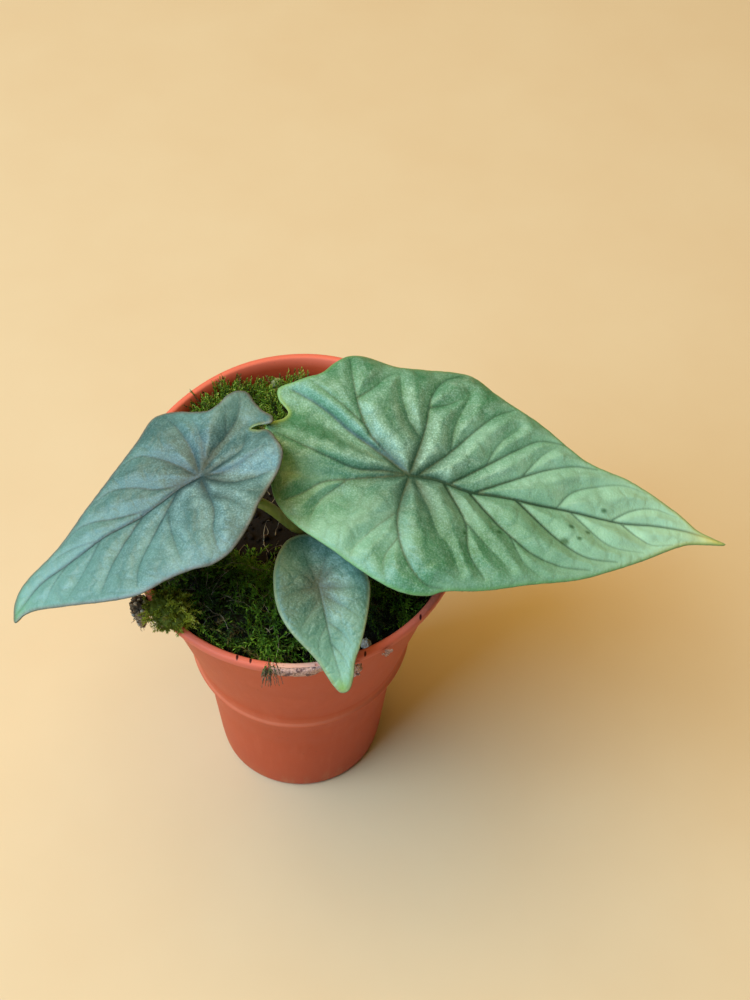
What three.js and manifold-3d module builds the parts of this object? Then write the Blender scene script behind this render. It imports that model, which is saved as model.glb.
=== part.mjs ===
// Potted alocasia: a thin plastic nursery pot with soil, moss and a young plant with three leaves.
// Millimetres, +Z up. The origin is the centre of the pot's base, on the surface it stands on.
// The large leaf points along +X. The small leaf leans over the front of the rim, along -Y.

import * as THREE from 'three';
import { mergeVertices } from 'three/addons/utils/BufferGeometryUtils.js';
import Module from 'manifold-3d';

const wasm = await Module();
wasm.setup();

// Pot: radius and height of the outer wall, from the foot up to the rim
const potHeight = 132;
const potWall = 1;
const potBase = 1.5;
const potSides = 60;
const potOutline = [
  [28.2, 0], [29.3, 1.5], [30, 6], [33.4, 38], [35.9, 54], [36.5, 57.5], [38.1, 59.5],
  [39.1, 62], [39.5, 66], [45.2, 87], [50.6, 107], [54.6, 122], [56.8, 127.8],
];
const rimOutline = [[58.2, 128.2], [59.4, 129], [59.4, 130.8], [58.6, 132]];
const rimMouth = 57.4;
// The soft rim is pushed oval, narrower along X and wider along Y
const rimOval = 0.085;
const drainHoles = 8;
const drainHoleRadius = 3;
const drainCircle = 19.5;

// Clearance between pieces that touch
const gap = 0.3;

// Soil: radius and height of its top, which dips a little between the plant and the wall
const soilTop = [[0, 117], [20, 117], [38, 116]];
const soilEdgeHeight = 117.5;

// Corm: where it stands, and radius and height of its outline
const cormPlace = [6, -7];
const cormOutline = [[4, 96], [6.5, 102], [7, 108], [6.2, 115], [5.8, 119]];
const cormTop = 119;

// Leaves. The blade's own frame has X from the petiole junction to the tip, Y across the blade
// and Z out of its upper face. Degrees for heading, dip and bank, and millimetres for the rest.
const bladeThickness = 0.7;

// fold: slope of the two halves up from the midrib, with a crease of this half width
// roll: how far the margins curl down at half the width
// droop: how far the tip sinks at its full reach
// spokes: direction in degrees and rise of the blade there, beyond a dish of this radius
const largeLeaf = {
  junction: [34, -17.5, 167],
  heading: 2,
  dip: 12,
  bank: 12,
  outline: [
    [103, -2], [98.5, -1], [93, 0.5], [86.5, 4.5], [70.5, 11.5], [61, 13.5], [54.5, 15.5],
    [40.5, 24.5], [26.5, 32.5], [18, 39], [3.5, 37.5], [-5.5, 36.5], [-15, 38.5], [-20, 37.5],
    [-24.5, 33.5], [-28.5, 29], [-35.5, 26], [-40, 24], [-39.5, 20.5], [-36.5, 16.5], [-38, 13],
    [-43, 9], [-42.5, 4], [-37.5, 0], [-39.5, -4.5], [-38.5, -10], [-32, -17.5], [-17.5, -27.5],
    [-3.5, -35.5], [3, -37], [8, -36.5], [11.5, -35], [23.5, -33], [37.5, -29], [52, -25],
    [62, -20.5], [72.5, -15], [89, -5.5], [97, -3.5],
  ],
  middle: [0, 0],
  rings: 5,
  fold: 0.1,
  crease: 5,
  roll: 5,
  halfWidth: 38,
  droop: 8,
  reach: 100,
  dish: 22,
  spokes: [
    [60, 0], [120, 1], [137, 0], [152, -5], [172, 0], [188, -5], [205, -8], [235, -5], [280, 0],
  ],
};

const leftLeaf = {
  junction: [-26, -27.5, 174],
  heading: -145,
  dip: 18,
  bank: 2,
  outline: [
    [66.5, -0.5], [64, -5], [59, -8], [45, -10], [33, -14], [20, -18.5], [9, -23], [1, -27.5],
    [-1.5, -27], [-5.5, -24], [-10, -18.5], [-13.5, -15.5], [-17, -15.5], [-20.5, -16.5],
    [-23.5, -16.5], [-25.5, -15], [-25.5, -11.5], [-26, -7.5], [-27, -4], [-26, -2],
    [-22.5, -3.5], [-20.5, -3.8], [-21.5, -2], [-23.5, -0.5], [-23.5, 5.5], [-23, 10], [-21, 12],
    [-17.5, 14], [-9, 19.5], [-4.5, 23], [5, 27], [11.5, 27], [17.5, 24.5], [24.5, 22.5],
    [33.5, 20.5], [41.5, 15.5], [49.5, 9], [60.5, 0.5], [63.5, -0.5],
  ],
  middle: [-8, -11],
  rings: 5,
  fold: 0.14,
  crease: 4,
  roll: 3,
  halfWidth: 27,
  droop: 6,
  reach: 66,
  dish: 14,
  spokes: [[100, 0], [140, -2.5], [165, 1.5], [180, -1], [200, -2.5], [225, 2], [260, 0]],
};

const smallLeaf = {
  junction: [9, -45.5, 149],
  heading: -74,
  dip: 18,
  bank: 3,
  outline: [
    [31.5, 0], [29.5, -1.5], [21.5, -5], [12.5, -10.5], [7, -12.5], [2, -13], [-3, -12.5],
    [-7, -11.5], [-12, -9], [-15.5, -5.5], [-16.5, -1.5], [-15.5, 2], [-12.5, 6.5], [-7.5, 11],
    [-1.5, 14], [2.5, 14.5], [8.5, 13], [19, 8.5], [24, 5.5], [28.5, 4], [31.5, 2],
  ],
  middle: [0, 0],
  rings: 5,
  fold: 0.22,
  crease: 3,
  roll: 2,
  halfWidth: 14,
  droop: 4,
  reach: 32,
  dish: 10,
  spokes: [[120, 0], [180, -1.5], [240, 0]],
};

// Petioles: foot on the corm, points on the way up, and radius at the foot and at the blade
const petioleSides = 10;
const petioleSteps = 16;
const petioleSeat = 0.5;
const petioleRoutes = {
  large: { leaf: largeLeaf, foot: [8.5, -5.6], way: [[14, -9, 136], [23, -14, 153]], radii: [2.1, 1.5] },
  left: {
    leaf: leftLeaf,
    foot: [3.4, -5.8],
    way: [[1.5, -15, 136], [-0.5, -23.5, 149], [-9, -26.5, 162]],
    radii: [2.1, 1.4],
  },
  small: { leaf: smallLeaf, foot: [6.1, -10.2], way: [[7, -24, 131], [8, -37, 140]], radii: [1.8, 1.2] },
};

// Moss, roots and crumbs: centre, half sizes along their own X, Y and Z, and turn in degrees
const mossBackLeft = { at: [-26, 41, 118], half: [17, 12, 10], turn: 31, bumps: 0.12 };
const mossBackMiddle = { at: [-5, 39.5, 118], half: [14, 19, 11.5], turn: 0, bumps: 0.12 };
const mossFrontLeft = { at: [-20, -36, 118], half: [30, 18, 13], turn: 148, bumps: 0.1 };
const mossFrontRight = { at: [31, -32, 117], half: [10, 8, 8], turn: 40, bumps: 0.12 };
const mossRimStrands = { at: [-5.5, -61.5, 131.5], half: [3.4, 4.5, 3.5], turn: 0, bumps: 0.08 };
const mossOverhang = { at: [-35.5, -46, 132.5], half: [8, 6, 4], turn: 137, bumps: 0.08 };
const rootClump = { at: [-45.1, -41.7, 125.5], half: [3.6, 3.2, 7.5], turn: 137, bumps: 0.12 };
const pebble = { at: [-10.7, 54.5, 126.5], half: [2.2, 1.9, 1.8], turn: 20, bumps: 0.08 };
const crumbs = {
  rim_crumb_front: { at: [0.5, -64.9, 128.5], half: [2, 1.6, 2.6], turn: 0, bumps: 0.12 },
  rim_crumb_middle: { at: [21.2, -60.4, 127.5], half: [2, 1.8, 3.5], turn: 20, bumps: 0.12 },
  rim_crumb_right: { at: [30, -54.6, 129], half: [1.8, 1.6, 2.2], turn: 30, bumps: 0.12 },
};
// Perlite: place and radius
const perliteGrains = [[23.5, -45, 1.6], [20, -47, 1.3], [16.5, -46, 1.2], [42, -22.5, 1.4]];

const terracotta = { color: 0xc0583c, roughness: 0.5, metalness: 0 };
const peat = { color: 0x1c1611, roughness: 0.95, metalness: 0 };
const cormSkin = { color: 0x6b5a34, roughness: 0.8, metalness: 0 };
const stalkGreen = { color: 0x9fb75c, roughness: 0.5, metalness: 0 };
const leafGreen = { color: 0x7fb08a, roughness: 0.45, metalness: 0 };
const leafBlue = { color: 0x86a3a2, roughness: 0.45, metalness: 0 };
const leafGrey = { color: 0x86ac97, roughness: 0.45, metalness: 0 };
const mossBright = { color: 0x8a9a22, roughness: 0.95, metalness: 0 };
const mossDark = { color: 0x34501a, roughness: 0.95, metalness: 0 };
const rootBrown = { color: 0x5a4028, roughness: 0.95, metalness: 0 };
const stoneGrey = { color: 0x8c8f85, roughness: 0.8, metalness: 0 };
const crustPale = { color: 0xc9a794, roughness: 0.9, metalness: 0 };
const perliteWhite = { color: 0xd8d5cc, roughness: 0.9, metalness: 0 };

const plant = new THREE.Group();

function addMesh(parent, name, geometry, look) {
  geometry.computeVertexNormals();
  const mesh = new THREE.Mesh(geometry, new THREE.MeshStandardMaterial(look));
  mesh.name = name;
  parent.add(mesh);
  return mesh;
}

// Merges shared vertices and drops the triangles that this closes up, as at a lathe's poles.
function weld(geometry) {
  geometry.deleteAttribute('normal');
  geometry.deleteAttribute('uv');
  const merged = mergeVertices(geometry, 1e-4);
  const corners = merged.index.array;
  const kept = [];
  for (let i = 0; i < corners.length; i += 3) {
    const [a, b, c] = corners.slice(i, i + 3);
    if (a !== b && b !== c && c !== a) kept.push(a, b, c);
  }
  merged.setIndex(kept);
  return merged;
}

function toSolid(geometry) {
  const welded = weld(geometry);
  const vertProperties = new Float32Array(welded.attributes.position.array);
  const triVerts = new Uint32Array(welded.index.array);
  return new wasm.Manifold(new wasm.Mesh({ numProp: 3, vertProperties, triVerts }));
}

function toGeometry(solid) {
  const mesh = solid.getMesh();
  const geometry = new THREE.BufferGeometry();
  geometry.setAttribute('position', new THREE.BufferAttribute(mesh.vertProperties, 3));
  geometry.setIndex(new THREE.BufferAttribute(mesh.triVerts, 1));
  return geometry;
}

// Turns an outline of radius and height about the Z axis.
function turned(outline, sides = potSides) {
  const points = outline.map(([radius, height]) => new THREE.Vector2(radius, height));
  return new THREE.LatheGeometry(points, sides).rotateX(Math.PI / 2);
}

// Pushes everything that follows the pot's wall oval, more towards the rim.
function pushedOval(geometry) {
  const position = geometry.attributes.position;
  for (let i = 0; i < position.count; i += 1) {
    const push = (rimOval * position.getZ(i)) / potHeight;
    position.setX(i, position.getX(i) * (1 - push));
    position.setY(i, position.getY(i) * (1 + push));
  }
  return geometry;
}

// Inner face of the wall, from the base plate up to the mouth
const innerOutline = [
  [potOutline[1][0] - potWall, potBase],
  ...potOutline.slice(2).map(([radius, height]) => [radius - potWall, height]),
  [rimMouth, potHeight],
];

function innerRadius(height) {
  const upper = innerOutline.findIndex((point) => point[1] >= height);
  const [lowRadius, low] = innerOutline[upper - 1];
  const [highRadius, high] = innerOutline[upper];
  return lowRadius + ((highRadius - lowRadius) * (height - low)) / (high - low);
}

function makePot() {
  const outline = [[0, 0], ...potOutline, ...rimOutline, ...[...innerOutline].reverse(), [0, potBase]];
  let pot = toSolid(pushedOval(turned(outline)));
  for (let i = 0; i < drainHoles; i += 1) {
    const angle = (2 * Math.PI * (i + 0.5)) / drainHoles;
    const drill = new THREE.CylinderGeometry(drainHoleRadius, drainHoleRadius, 4 * potBase, 16);
    drill.rotateX(Math.PI / 2);
    drill.translate(drainCircle * Math.cos(angle), drainCircle * Math.sin(angle), potBase / 2);
    pot = pot.subtract(toSolid(drill));
  }
  return toGeometry(pot);
}

function makeCorm(grow) {
  const [bottomRadius, bottom] = cormOutline[0];
  const top = grow > 0 ? potHeight : cormTop;
  const outline = [
    [0, bottom - grow],
    [bottomRadius + grow, bottom - grow],
    ...cormOutline.slice(1).map(([radius, height]) => [radius + grow, height]),
    [cormOutline.at(-1)[0] + grow, top],
    [0, top],
  ];
  return turned(outline, 24).translate(...cormPlace, 0);
}

function makeSoil() {
  const wall = innerOutline.filter(([, height]) => height > potBase && height < soilEdgeHeight);
  const outline = [
    [0, potBase + gap],
    [innerOutline[0][0] - gap, potBase + gap],
    ...wall.map(([radius, height]) => [radius - gap, height]),
    [innerRadius(soilEdgeHeight) - gap, soilEdgeHeight],
    ...[...soilTop].reverse(),
  ];
  return toGeometry(toSolid(pushedOval(turned(outline))).subtract(toSolid(makeCorm(gap))));
}

// The free space above the soil and inside the wall, for cutting what lies there to shape.
function makeHeadspace() {
  const wall = innerOutline.filter(([, height]) => height > soilEdgeHeight + gap);
  const outline = [
    ...soilTop.map(([radius, height]) => [radius, height + gap]),
    [innerRadius(soilEdgeHeight) - gap, soilEdgeHeight + gap],
    ...wall.map(([radius, height]) => [radius - gap, height]),
    [rimMouth - gap, potHeight + 20],
    [0, potHeight + 20],
  ];
  return toSolid(pushedOval(turned(outline)));
}

// The upper wall and rim with the clearance all round, for cutting what hangs over them.
function makeWallCutter() {
  const inner = innerOutline.filter(([, height]) => height >= 87);
  const outer = potOutline.filter(([, height]) => height >= 87);
  const rim = rimOutline.map(([radius, height]) => [radius + gap, height]);
  const outline = [
    ...outer.map(([radius, height]) => [radius + gap, height]),
    [rim[0][0], rim[0][1] - 2 * gap],
    ...rim.slice(1),
    [rimOutline.at(-1)[0], potHeight + gap],
    [rimMouth - gap, potHeight + gap],
    ...[...inner].reverse().map(([radius, height]) => [radius - gap, height]),
    [outer[0][0] + gap, outer[0][1]],
  ];
  return toSolid(pushedOval(turned(outline)));
}

function smoothStep(part) {
  return part * part * (3 - 2 * part);
}

// Rise of the blade in one direction, blended between its spokes.
function spokeRise(spokes, degrees) {
  const first = spokes[0];
  const last = spokes.at(-1);
  const around = [[last[0] - 360, last[1]], ...spokes, [first[0] + 360, first[1]]];
  const direction = ((degrees % 360) + 360) % 360;
  const next = around.findIndex(([angle]) => angle > direction);
  const [lowAngle, lowRise] = around[next - 1];
  const [highAngle, highRise] = around[next];
  return lowRise + (highRise - lowRise) * smoothStep((direction - lowAngle) / (highAngle - lowAngle));
}

// Height of the blade's middle surface above its own XY plane.
function bladeHeight(leaf, x, y) {
  const fold = leaf.fold * (Math.hypot(y, leaf.crease) - leaf.crease);
  const roll = leaf.roll * (y / leaf.halfWidth) ** 4;
  const droop = leaf.droop * (Math.max(x, 0) / leaf.reach) ** 2;
  const direction = THREE.MathUtils.radToDeg(Math.atan2(y, x));
  const beyondDish = 1 - Math.exp(-((Math.hypot(x, y) / leaf.dish) ** 2));
  return fold - roll - droop + spokeRise(leaf.spokes, direction) * beyondDish;
}

// A closed sheet of even thickness: rings of points from the middle out to the outline.
function makeBlade(leaf) {
  const corners = leaf.outline.map(([x, y]) => new THREE.Vector3(x, y, 0));
  const margin = new THREE.CatmullRomCurve3(corners, true, 'centripetal');
  const around = 2 * corners.length;
  const edge = margin.getPoints(around).slice(0, around);
  if (THREE.ShapeUtils.isClockWise(edge)) edge.reverse();
  const [middleX, middleY] = leaf.middle;
  const positions = [];
  for (const side of [1, -1]) {
    const lift = (side * bladeThickness) / 2;
    positions.push(middleX, middleY, bladeHeight(leaf, middleX, middleY) + lift);
    for (let ring = 1; ring <= leaf.rings; ring += 1) {
      for (const point of edge) {
        const x = middleX + ((point.x - middleX) * ring) / leaf.rings;
        const y = middleY + ((point.y - middleY) * ring) / leaf.rings;
        positions.push(x, y, bladeHeight(leaf, x, y) + lift);
      }
    }
  }
  const perSide = 1 + around * leaf.rings;
  const at = (side, ring, i) => side * perSide + 1 + (ring - 1) * around + (i % around);
  const faces = [];
  for (let i = 0; i < around; i += 1) {
    faces.push(0, at(0, 1, i), at(0, 1, i + 1));
    faces.push(perSide, at(1, 1, i + 1), at(1, 1, i));
    for (let ring = 1; ring < leaf.rings; ring += 1) {
      faces.push(at(0, ring, i), at(0, ring + 1, i), at(0, ring + 1, i + 1));
      faces.push(at(0, ring, i), at(0, ring + 1, i + 1), at(0, ring, i + 1));
      faces.push(at(1, ring, i), at(1, ring + 1, i + 1), at(1, ring + 1, i));
      faces.push(at(1, ring, i), at(1, ring, i + 1), at(1, ring + 1, i + 1));
    }
    const last = leaf.rings;
    faces.push(at(0, last, i), at(1, last, i), at(1, last, i + 1));
    faces.push(at(0, last, i), at(1, last, i + 1), at(0, last, i + 1));
  }
  const geometry = new THREE.BufferGeometry();
  geometry.setAttribute('position', new THREE.Float32BufferAttribute(positions, 3));
  geometry.setIndex(faces);
  return geometry;
}

function leafTurn(leaf) {
  const [bank, dip, heading] = [leaf.bank, leaf.dip, leaf.heading].map(THREE.MathUtils.degToRad);
  return new THREE.Euler(bank, dip, heading, 'ZYX');
}

function addBlade(name, leaf, look) {
  const mesh = addMesh(plant, name, makeBlade(leaf), look);
  mesh.position.set(...leaf.junction);
  mesh.rotation.copy(leafTurn(leaf));
}

// A round stalk that tapers from its foot to the underside of the blade.
function makePetiole({ leaf, foot, way, radii }) {
  const faceUp = new THREE.Vector3(0, 0, 1).applyEuler(leafTurn(leaf));
  const junction = new THREE.Vector3(...leaf.junction);
  const below = (depth) => junction.clone().addScaledVector(faceUp, -depth);
  const footHeight = cormTop + gap;
  const route = new THREE.CatmullRomCurve3([
    new THREE.Vector3(...foot, footHeight),
    new THREE.Vector3(...foot, footHeight + 4),
    ...way.map((point) => new THREE.Vector3(...point)),
    below(6),
    below(bladeThickness / 2 + petioleSeat),
  ]);
  const frames = route.computeFrenetFrames(petioleSteps, false);
  const positions = [];
  for (let step = 0; step <= petioleSteps; step += 1) {
    const centre = route.getPointAt(step / petioleSteps);
    const radius = THREE.MathUtils.lerp(radii[0], radii[1], step / petioleSteps);
    for (let i = 0; i < petioleSides; i += 1) {
      const angle = (2 * Math.PI * i) / petioleSides;
      const point = centre.clone();
      point.addScaledVector(frames.normals[step], radius * Math.cos(angle));
      point.addScaledVector(frames.binormals[step], radius * Math.sin(angle));
      positions.push(...point);
    }
  }
  const faces = [];
  const at = (step, i) => step * petioleSides + (i % petioleSides);
  for (let step = 0; step < petioleSteps; step += 1) {
    for (let i = 0; i < petioleSides; i += 1) {
      faces.push(at(step, i), at(step, i + 1), at(step + 1, i + 1));
      faces.push(at(step, i), at(step + 1, i + 1), at(step + 1, i));
    }
  }
  for (let i = 1; i < petioleSides - 1; i += 1) {
    faces.push(at(0, 0), at(0, i + 1), at(0, i));
    faces.push(at(petioleSteps, 0), at(petioleSteps, i), at(petioleSteps, i + 1));
  }
  const geometry = new THREE.BufferGeometry();
  geometry.setAttribute('position', new THREE.Float32BufferAttribute(positions, 3));
  geometry.setIndex(faces);
  return geometry;
}

// A rounded lump with an uneven surface, grown all round where another piece is cut to clear it.
function lump({ at, half, turn, bumps }, grow = 0, fineness = 20) {
  const geometry = new THREE.SphereGeometry(1, fineness, fineness / 2);
  const position = geometry.attributes.position;
  const point = new THREE.Vector3();
  for (let i = 0; i < position.count; i += 1) {
    point.fromBufferAttribute(position, i);
    const wave = Math.sin(5 * point.x + at[0]) * Math.cos(4 * point.y + at[1]) * Math.sin(3 * point.z + 1);
    point.multiplyScalar(1 + bumps * wave);
    position.setXYZ(i, ...point);
  }
  geometry.scale(half[0] + grow, half[1] + grow, half[2] + grow);
  geometry.rotateZ(THREE.MathUtils.degToRad(turn));
  geometry.translate(...at);
  return toSolid(geometry);
}

addMesh(plant, 'pot', makePot(), terracotta);
addMesh(plant, 'soil', makeSoil(), peat);
addMesh(plant, 'corm', weld(makeCorm(0)), cormSkin);

addMesh(plant, 'petiole_large', makePetiole(petioleRoutes.large), stalkGreen);
addMesh(plant, 'petiole_left', makePetiole(petioleRoutes.left), stalkGreen);
addMesh(plant, 'petiole_small', makePetiole(petioleRoutes.small), stalkGreen);
addBlade('blade_large', largeLeaf, leafGreen);
addBlade('blade_left', leftLeaf, leafBlue);
addBlade('blade_small', smallLeaf, leafGrey);

const headspace = makeHeadspace();
const wallCutter = makeWallCutter();
const backLeft = lump(mossBackLeft).intersect(headspace);
const backMiddle = lump(mossBackMiddle).intersect(headspace).subtract(lump(mossBackLeft, gap));
const overhang = lump(mossOverhang).subtract(wallCutter);
const strands = lump(mossRimStrands).subtract(wallCutter);
const frontLeft = lump(mossFrontLeft)
  .intersect(headspace)
  .subtract(lump(mossOverhang, gap))
  .subtract(lump(mossRimStrands, gap));
const frontRight = lump(mossFrontRight).intersect(headspace);
const roots = lump(rootClump).subtract(wallCutter).subtract(lump(mossOverhang, gap));
addMesh(plant, 'moss_back_left', toGeometry(backLeft), mossBright);
addMesh(plant, 'moss_back_middle', toGeometry(backMiddle), mossBright);
addMesh(plant, 'moss_front_left', toGeometry(frontLeft), mossDark);
addMesh(plant, 'moss_front_right', toGeometry(frontRight), mossDark);
addMesh(plant, 'moss_rim_strands', toGeometry(strands), mossDark);
addMesh(plant, 'moss_overhang', toGeometry(overhang), mossDark);
addMesh(plant, 'root_clump', toGeometry(roots), rootBrown);

const stone = lump(pebble, 0, 16).subtract(lump(mossBackMiddle, gap));
addMesh(plant, 'pebble', toGeometry(stone), stoneGrey);
for (const [name, crumb] of Object.entries(crumbs)) {
  addMesh(plant, name, toGeometry(lump(crumb, 0, 12).subtract(wallCutter)), crustPale);
}
perliteGrains.forEach(([x, y, radius], i) => {
  const height = soilEdgeHeight + gap / 2 + radius;
  const grain = { at: [x, y, height], half: [radius, radius, radius], turn: 0, bumps: 0.1 };
  addMesh(plant, `perlite_${i + 1}`, toGeometry(lump(grain, 0, 12)), perliteWhite);
});

export default plant;
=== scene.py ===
# %% [markdown]
# # A young alocasia in a plastic nursery pot
# This lesson dresses a finished construction model: a thin terracotta-coloured pot with soil,
# moss and a plant with three leathery leaves. The model already fixes every size and place, in
# metres, with the origin under the middle of the pot. Here each plain solid is exchanged for a
# detailed mesh in the same place, and each surface gets a finish made of shader nodes.

import math

import bmesh
import bpy
import numpy as np
from mathutils import Euler, Matrix, Vector, geometry, noise


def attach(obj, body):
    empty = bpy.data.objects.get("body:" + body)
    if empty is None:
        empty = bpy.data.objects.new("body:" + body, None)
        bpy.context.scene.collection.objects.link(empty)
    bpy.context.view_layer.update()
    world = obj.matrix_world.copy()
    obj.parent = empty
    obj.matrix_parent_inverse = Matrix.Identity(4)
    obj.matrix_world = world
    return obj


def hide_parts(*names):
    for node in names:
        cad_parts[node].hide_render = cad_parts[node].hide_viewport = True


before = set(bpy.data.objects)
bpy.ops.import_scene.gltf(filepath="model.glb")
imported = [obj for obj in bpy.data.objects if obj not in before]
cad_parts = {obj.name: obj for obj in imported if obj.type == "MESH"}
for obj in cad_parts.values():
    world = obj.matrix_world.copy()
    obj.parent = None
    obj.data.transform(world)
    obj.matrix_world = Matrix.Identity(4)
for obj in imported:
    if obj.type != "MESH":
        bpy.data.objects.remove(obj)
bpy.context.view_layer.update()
MM = 0.001

# %% [markdown]
# ## Camera
# The photograph looks down at the pot by about fifty degrees. A camera can be placed by eye, but
# here its angle was worked out from the pot's rim, ledge and foot, so it is set by those angles:
# how far it looks down, its small roll, and how far it stands from the middle of the rim. The
# lens follows from the length of the picture's long side.

# %% Set the camera
RIM_HEIGHT = 132
LOOK_DOWN = math.radians(50.9)
ROLL = math.radians(2.63)
CAMERA_DISTANCE = 505.9
CAMERA_RIGHT = 24.25
CAMERA_UP = 0.62
FOCAL_LENGTH = 57.6


def add(name, data):
    """A new object in the scene that shows a camera, a light or a mesh."""
    thing = bpy.data.objects.new(name, data)
    bpy.context.collection.objects.link(thing)
    return thing


forward = Vector((0, math.cos(LOOK_DOWN), -math.sin(LOOK_DOWN)))
right = Vector((1, 0, 0))
up = right.cross(forward)
place = Vector((0, 0, RIM_HEIGHT)) - forward * CAMERA_DISTANCE + right * CAMERA_RIGHT + up * CAMERA_UP
tilted_right = math.cos(ROLL) * right + math.sin(ROLL) * up
tilted_up = tilted_right.cross(forward)

camera = add("camera", bpy.data.cameras.new("camera"))
camera.data.lens = FOCAL_LENGTH
camera.data.clip_start = 0.01
axes = Matrix((tilted_right, tilted_up, -forward)).transposed().to_4x4()
camera.matrix_world = Matrix.Translation(place * MM) @ axes
bpy.context.scene.camera = camera
print("camera at", [round(v * MM, 3) for v in place])

# %% [markdown]
# ## A notation for finishes
# A finish is a little sum of noises and masks. Wiring each node by hand hides that sum, so one
# small class wraps a node's output and lets plain Python do the arithmetic: `1 - mask` adds a
# Math node. Colours must not go through Math nodes, which would turn them grey, so they are
# blended by a Mix node instead.

# %% Colours and wires
def seen(red, green, blue):
    """A colour as an eye or a screen gives it, from 0 to 255, as the even values shaders use."""
    parts = [channel / 255 for channel in (red, green, blue)]
    return tuple(((c + 0.055) / 1.055) ** 2.4 if c > 0.04 else c / 12.92 for c in parts)


class Wire:
    """One output of a finish's nodes. Arithmetic with numbers or other wires adds Math nodes."""

    def __init__(self, finish, socket):
        self.finish = finish
        self.socket = socket

    def math(self, operation, first, second):
        return self.finish.node("Math", {"operation": operation}, {0: first, 1: second})

    def __add__(self, other):
        return self.math("ADD", self, other)

    def __radd__(self, other):
        return self.math("ADD", other, self)

    def __sub__(self, other):
        return self.math("SUBTRACT", self, other)

    def __rsub__(self, other):
        return self.math("SUBTRACT", other, self)

    def __mul__(self, other):
        return self.math("MULTIPLY", self, other)

    def __rmul__(self, other):
        return self.math("MULTIPLY", other, self)


print("pot colour as shader values:", [round(c, 3) for c in seen(206, 92, 58)])

# %% Finishes
class Finish:
    """A material in the making. node() adds any shader node and gives back one of its outputs."""

    def __init__(self, name, **constants):
        self.material = bpy.data.materials.new(name)
        self.material.use_nodes = True
        self.nodes = self.material.node_tree.nodes
        self.links = self.material.node_tree.links
        self.shader = self.nodes["Principled BSDF"]
        for socket, value in constants.items():
            self.shader.inputs[socket.replace("_", " ")].default_value = value

    def feed(self, socket, value):
        """Link a wire to a socket, or set a number, a vector or a colour of 0 to 255 on it."""
        if isinstance(value, Wire):
            self.links.new(value.socket, socket)
        elif socket.type == "RGBA":
            socket.default_value = (*seen(*value), 1)
        else:
            socket.default_value = value

    def node(self, kind, settings=None, inputs=None, output=0):
        made = self.nodes.new("ShaderNode" + kind)
        for setting, value in (settings or {}).items():
            setattr(made, setting, value)
        for socket, value in (inputs or {}).items():
            self.feed(made.inputs[socket], value)
        return Wire(self, made.outputs[output])

    def mark(self, name):
        """A value that the mesh carries from point to point."""
        return self.node("Attribute", {"attribute_name": name}, output="Fac")

    def place(self):
        """The point on the object, in metres."""
        return self.node("TexCoord", output="Object")

    def stretched(self, *factors):
        """The point with its axes scaled. A noise read there is drawn out where a factor is small."""
        return self.node("VectorMath", {"operation": "MULTIPLY"}, {0: self.place(), 1: factors})

    def noise(self, size_mm, detail=3, roughness=0.55, where=None):
        """Cloudy values round one half, with clouds about this many millimetres across."""
        inputs = {"Vector": where or self.place(), "Scale": 1 / (size_mm * MM)}
        inputs |= {"Detail": detail, "Roughness": roughness}
        return self.node("TexNoise", inputs=inputs)

    def cells(self, size_mm):
        """Distance from the middle of the nearest of many cells of this size."""
        inputs = {"Vector": self.place(), "Scale": 1 / (size_mm * MM)}
        return self.node("TexVoronoi", inputs=inputs, output="Distance")

    def between(self, value, low, high):
        """0 where the value is at low or under it, 1 at high or over it, and smooth between."""
        inputs = {"Value": value, "From Min": low, "From Max": high}
        return self.node("MapRange", {"interpolation_type": "SMOOTHSTEP"}, inputs)

    def mix(self, first, second, share):
        """Two colours blended. The share of the second may be a number or a wire."""
        return self.node("Mix", {"data_type": "RGBA"}, {0: share, 6: first, 7: second}, 2)

    def layered(self, colour, *layers):
        """A colour with other colours laid over it in turn, each with its own share."""
        for over, share in layers:
            colour = self.mix(colour, over, share)
        return colour

    def surface(self, colour, roughness=None, coat=None):
        sockets = {"Base Color": colour, "Roughness": roughness, "Coat Weight": coat}
        for socket, value in sockets.items():
            if value is not None:
                self.feed(self.shader.inputs[socket], value)

    def bump(self, height, depth_mm):
        bumped = self.node("Bump", inputs={"Height": height, "Distance": depth_mm * MM})
        self.feed(self.shader.inputs["Normal"], bumped)


print("a finish can:", ", ".join(name for name in vars(Finish) if not name.startswith("_")))

# %% [markdown]
# ## Floor and light
# The pot stands on cream paper. Cool light from a window on the left, a little in front, throws
# the shadow to the right and slightly back. Its edge is wide, so the window is large. A warm
# ceiling light fills the shadow and turns it yellow-brown. Both are square area lights. Past the
# paper the camera sees a pale backdrop, which is left out of the light on the plant.

# %% Floor and light
FLOOR_SIZE = 3.0
POT_MIDDLE = Vector((0, 0, 0.1))
KEY_AROUND = math.radians(32)
KEY_RISE = math.radians(47)
KEY_AWAY = 1.8
KEY_SIZE = 1.4
KEY_POWER = 41
TOP_PLACE = Vector((-0.42, 0.1, 2.2))
TOP_SIZE = 2.4
TOP_POWER = 57
COOL = (0.54, 0.79, 1.0)
WARM = (1.0, 0.63, 0.2)


def make_floor():
    half = FLOOR_SIZE / 2
    mesh = bpy.data.meshes.new("floor")
    corners = [(-half, -half, 0), (half, -half, 0), (half, half, 0), (-half, half, 0)]
    mesh.from_pydata(corners, [], [(0, 1, 2, 3)])
    paper = Finish("cream_paper", Roughness=0.9)
    paper.surface(paper.mix((221, 208, 178), (216, 198, 165), paper.noise(60)))
    mesh.materials.append(paper.material)
    add("floor", mesh)


def soft_light(name, place, size, power, colour):
    lamp = bpy.data.lights.new(name, "AREA")
    lamp.size = size
    lamp.energy = power
    lamp.color = colour
    light = add(name, lamp)
    light.location = place
    light.rotation_euler = (POT_MIDDLE - place).to_track_quat("-Z", "Y").to_euler()


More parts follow.
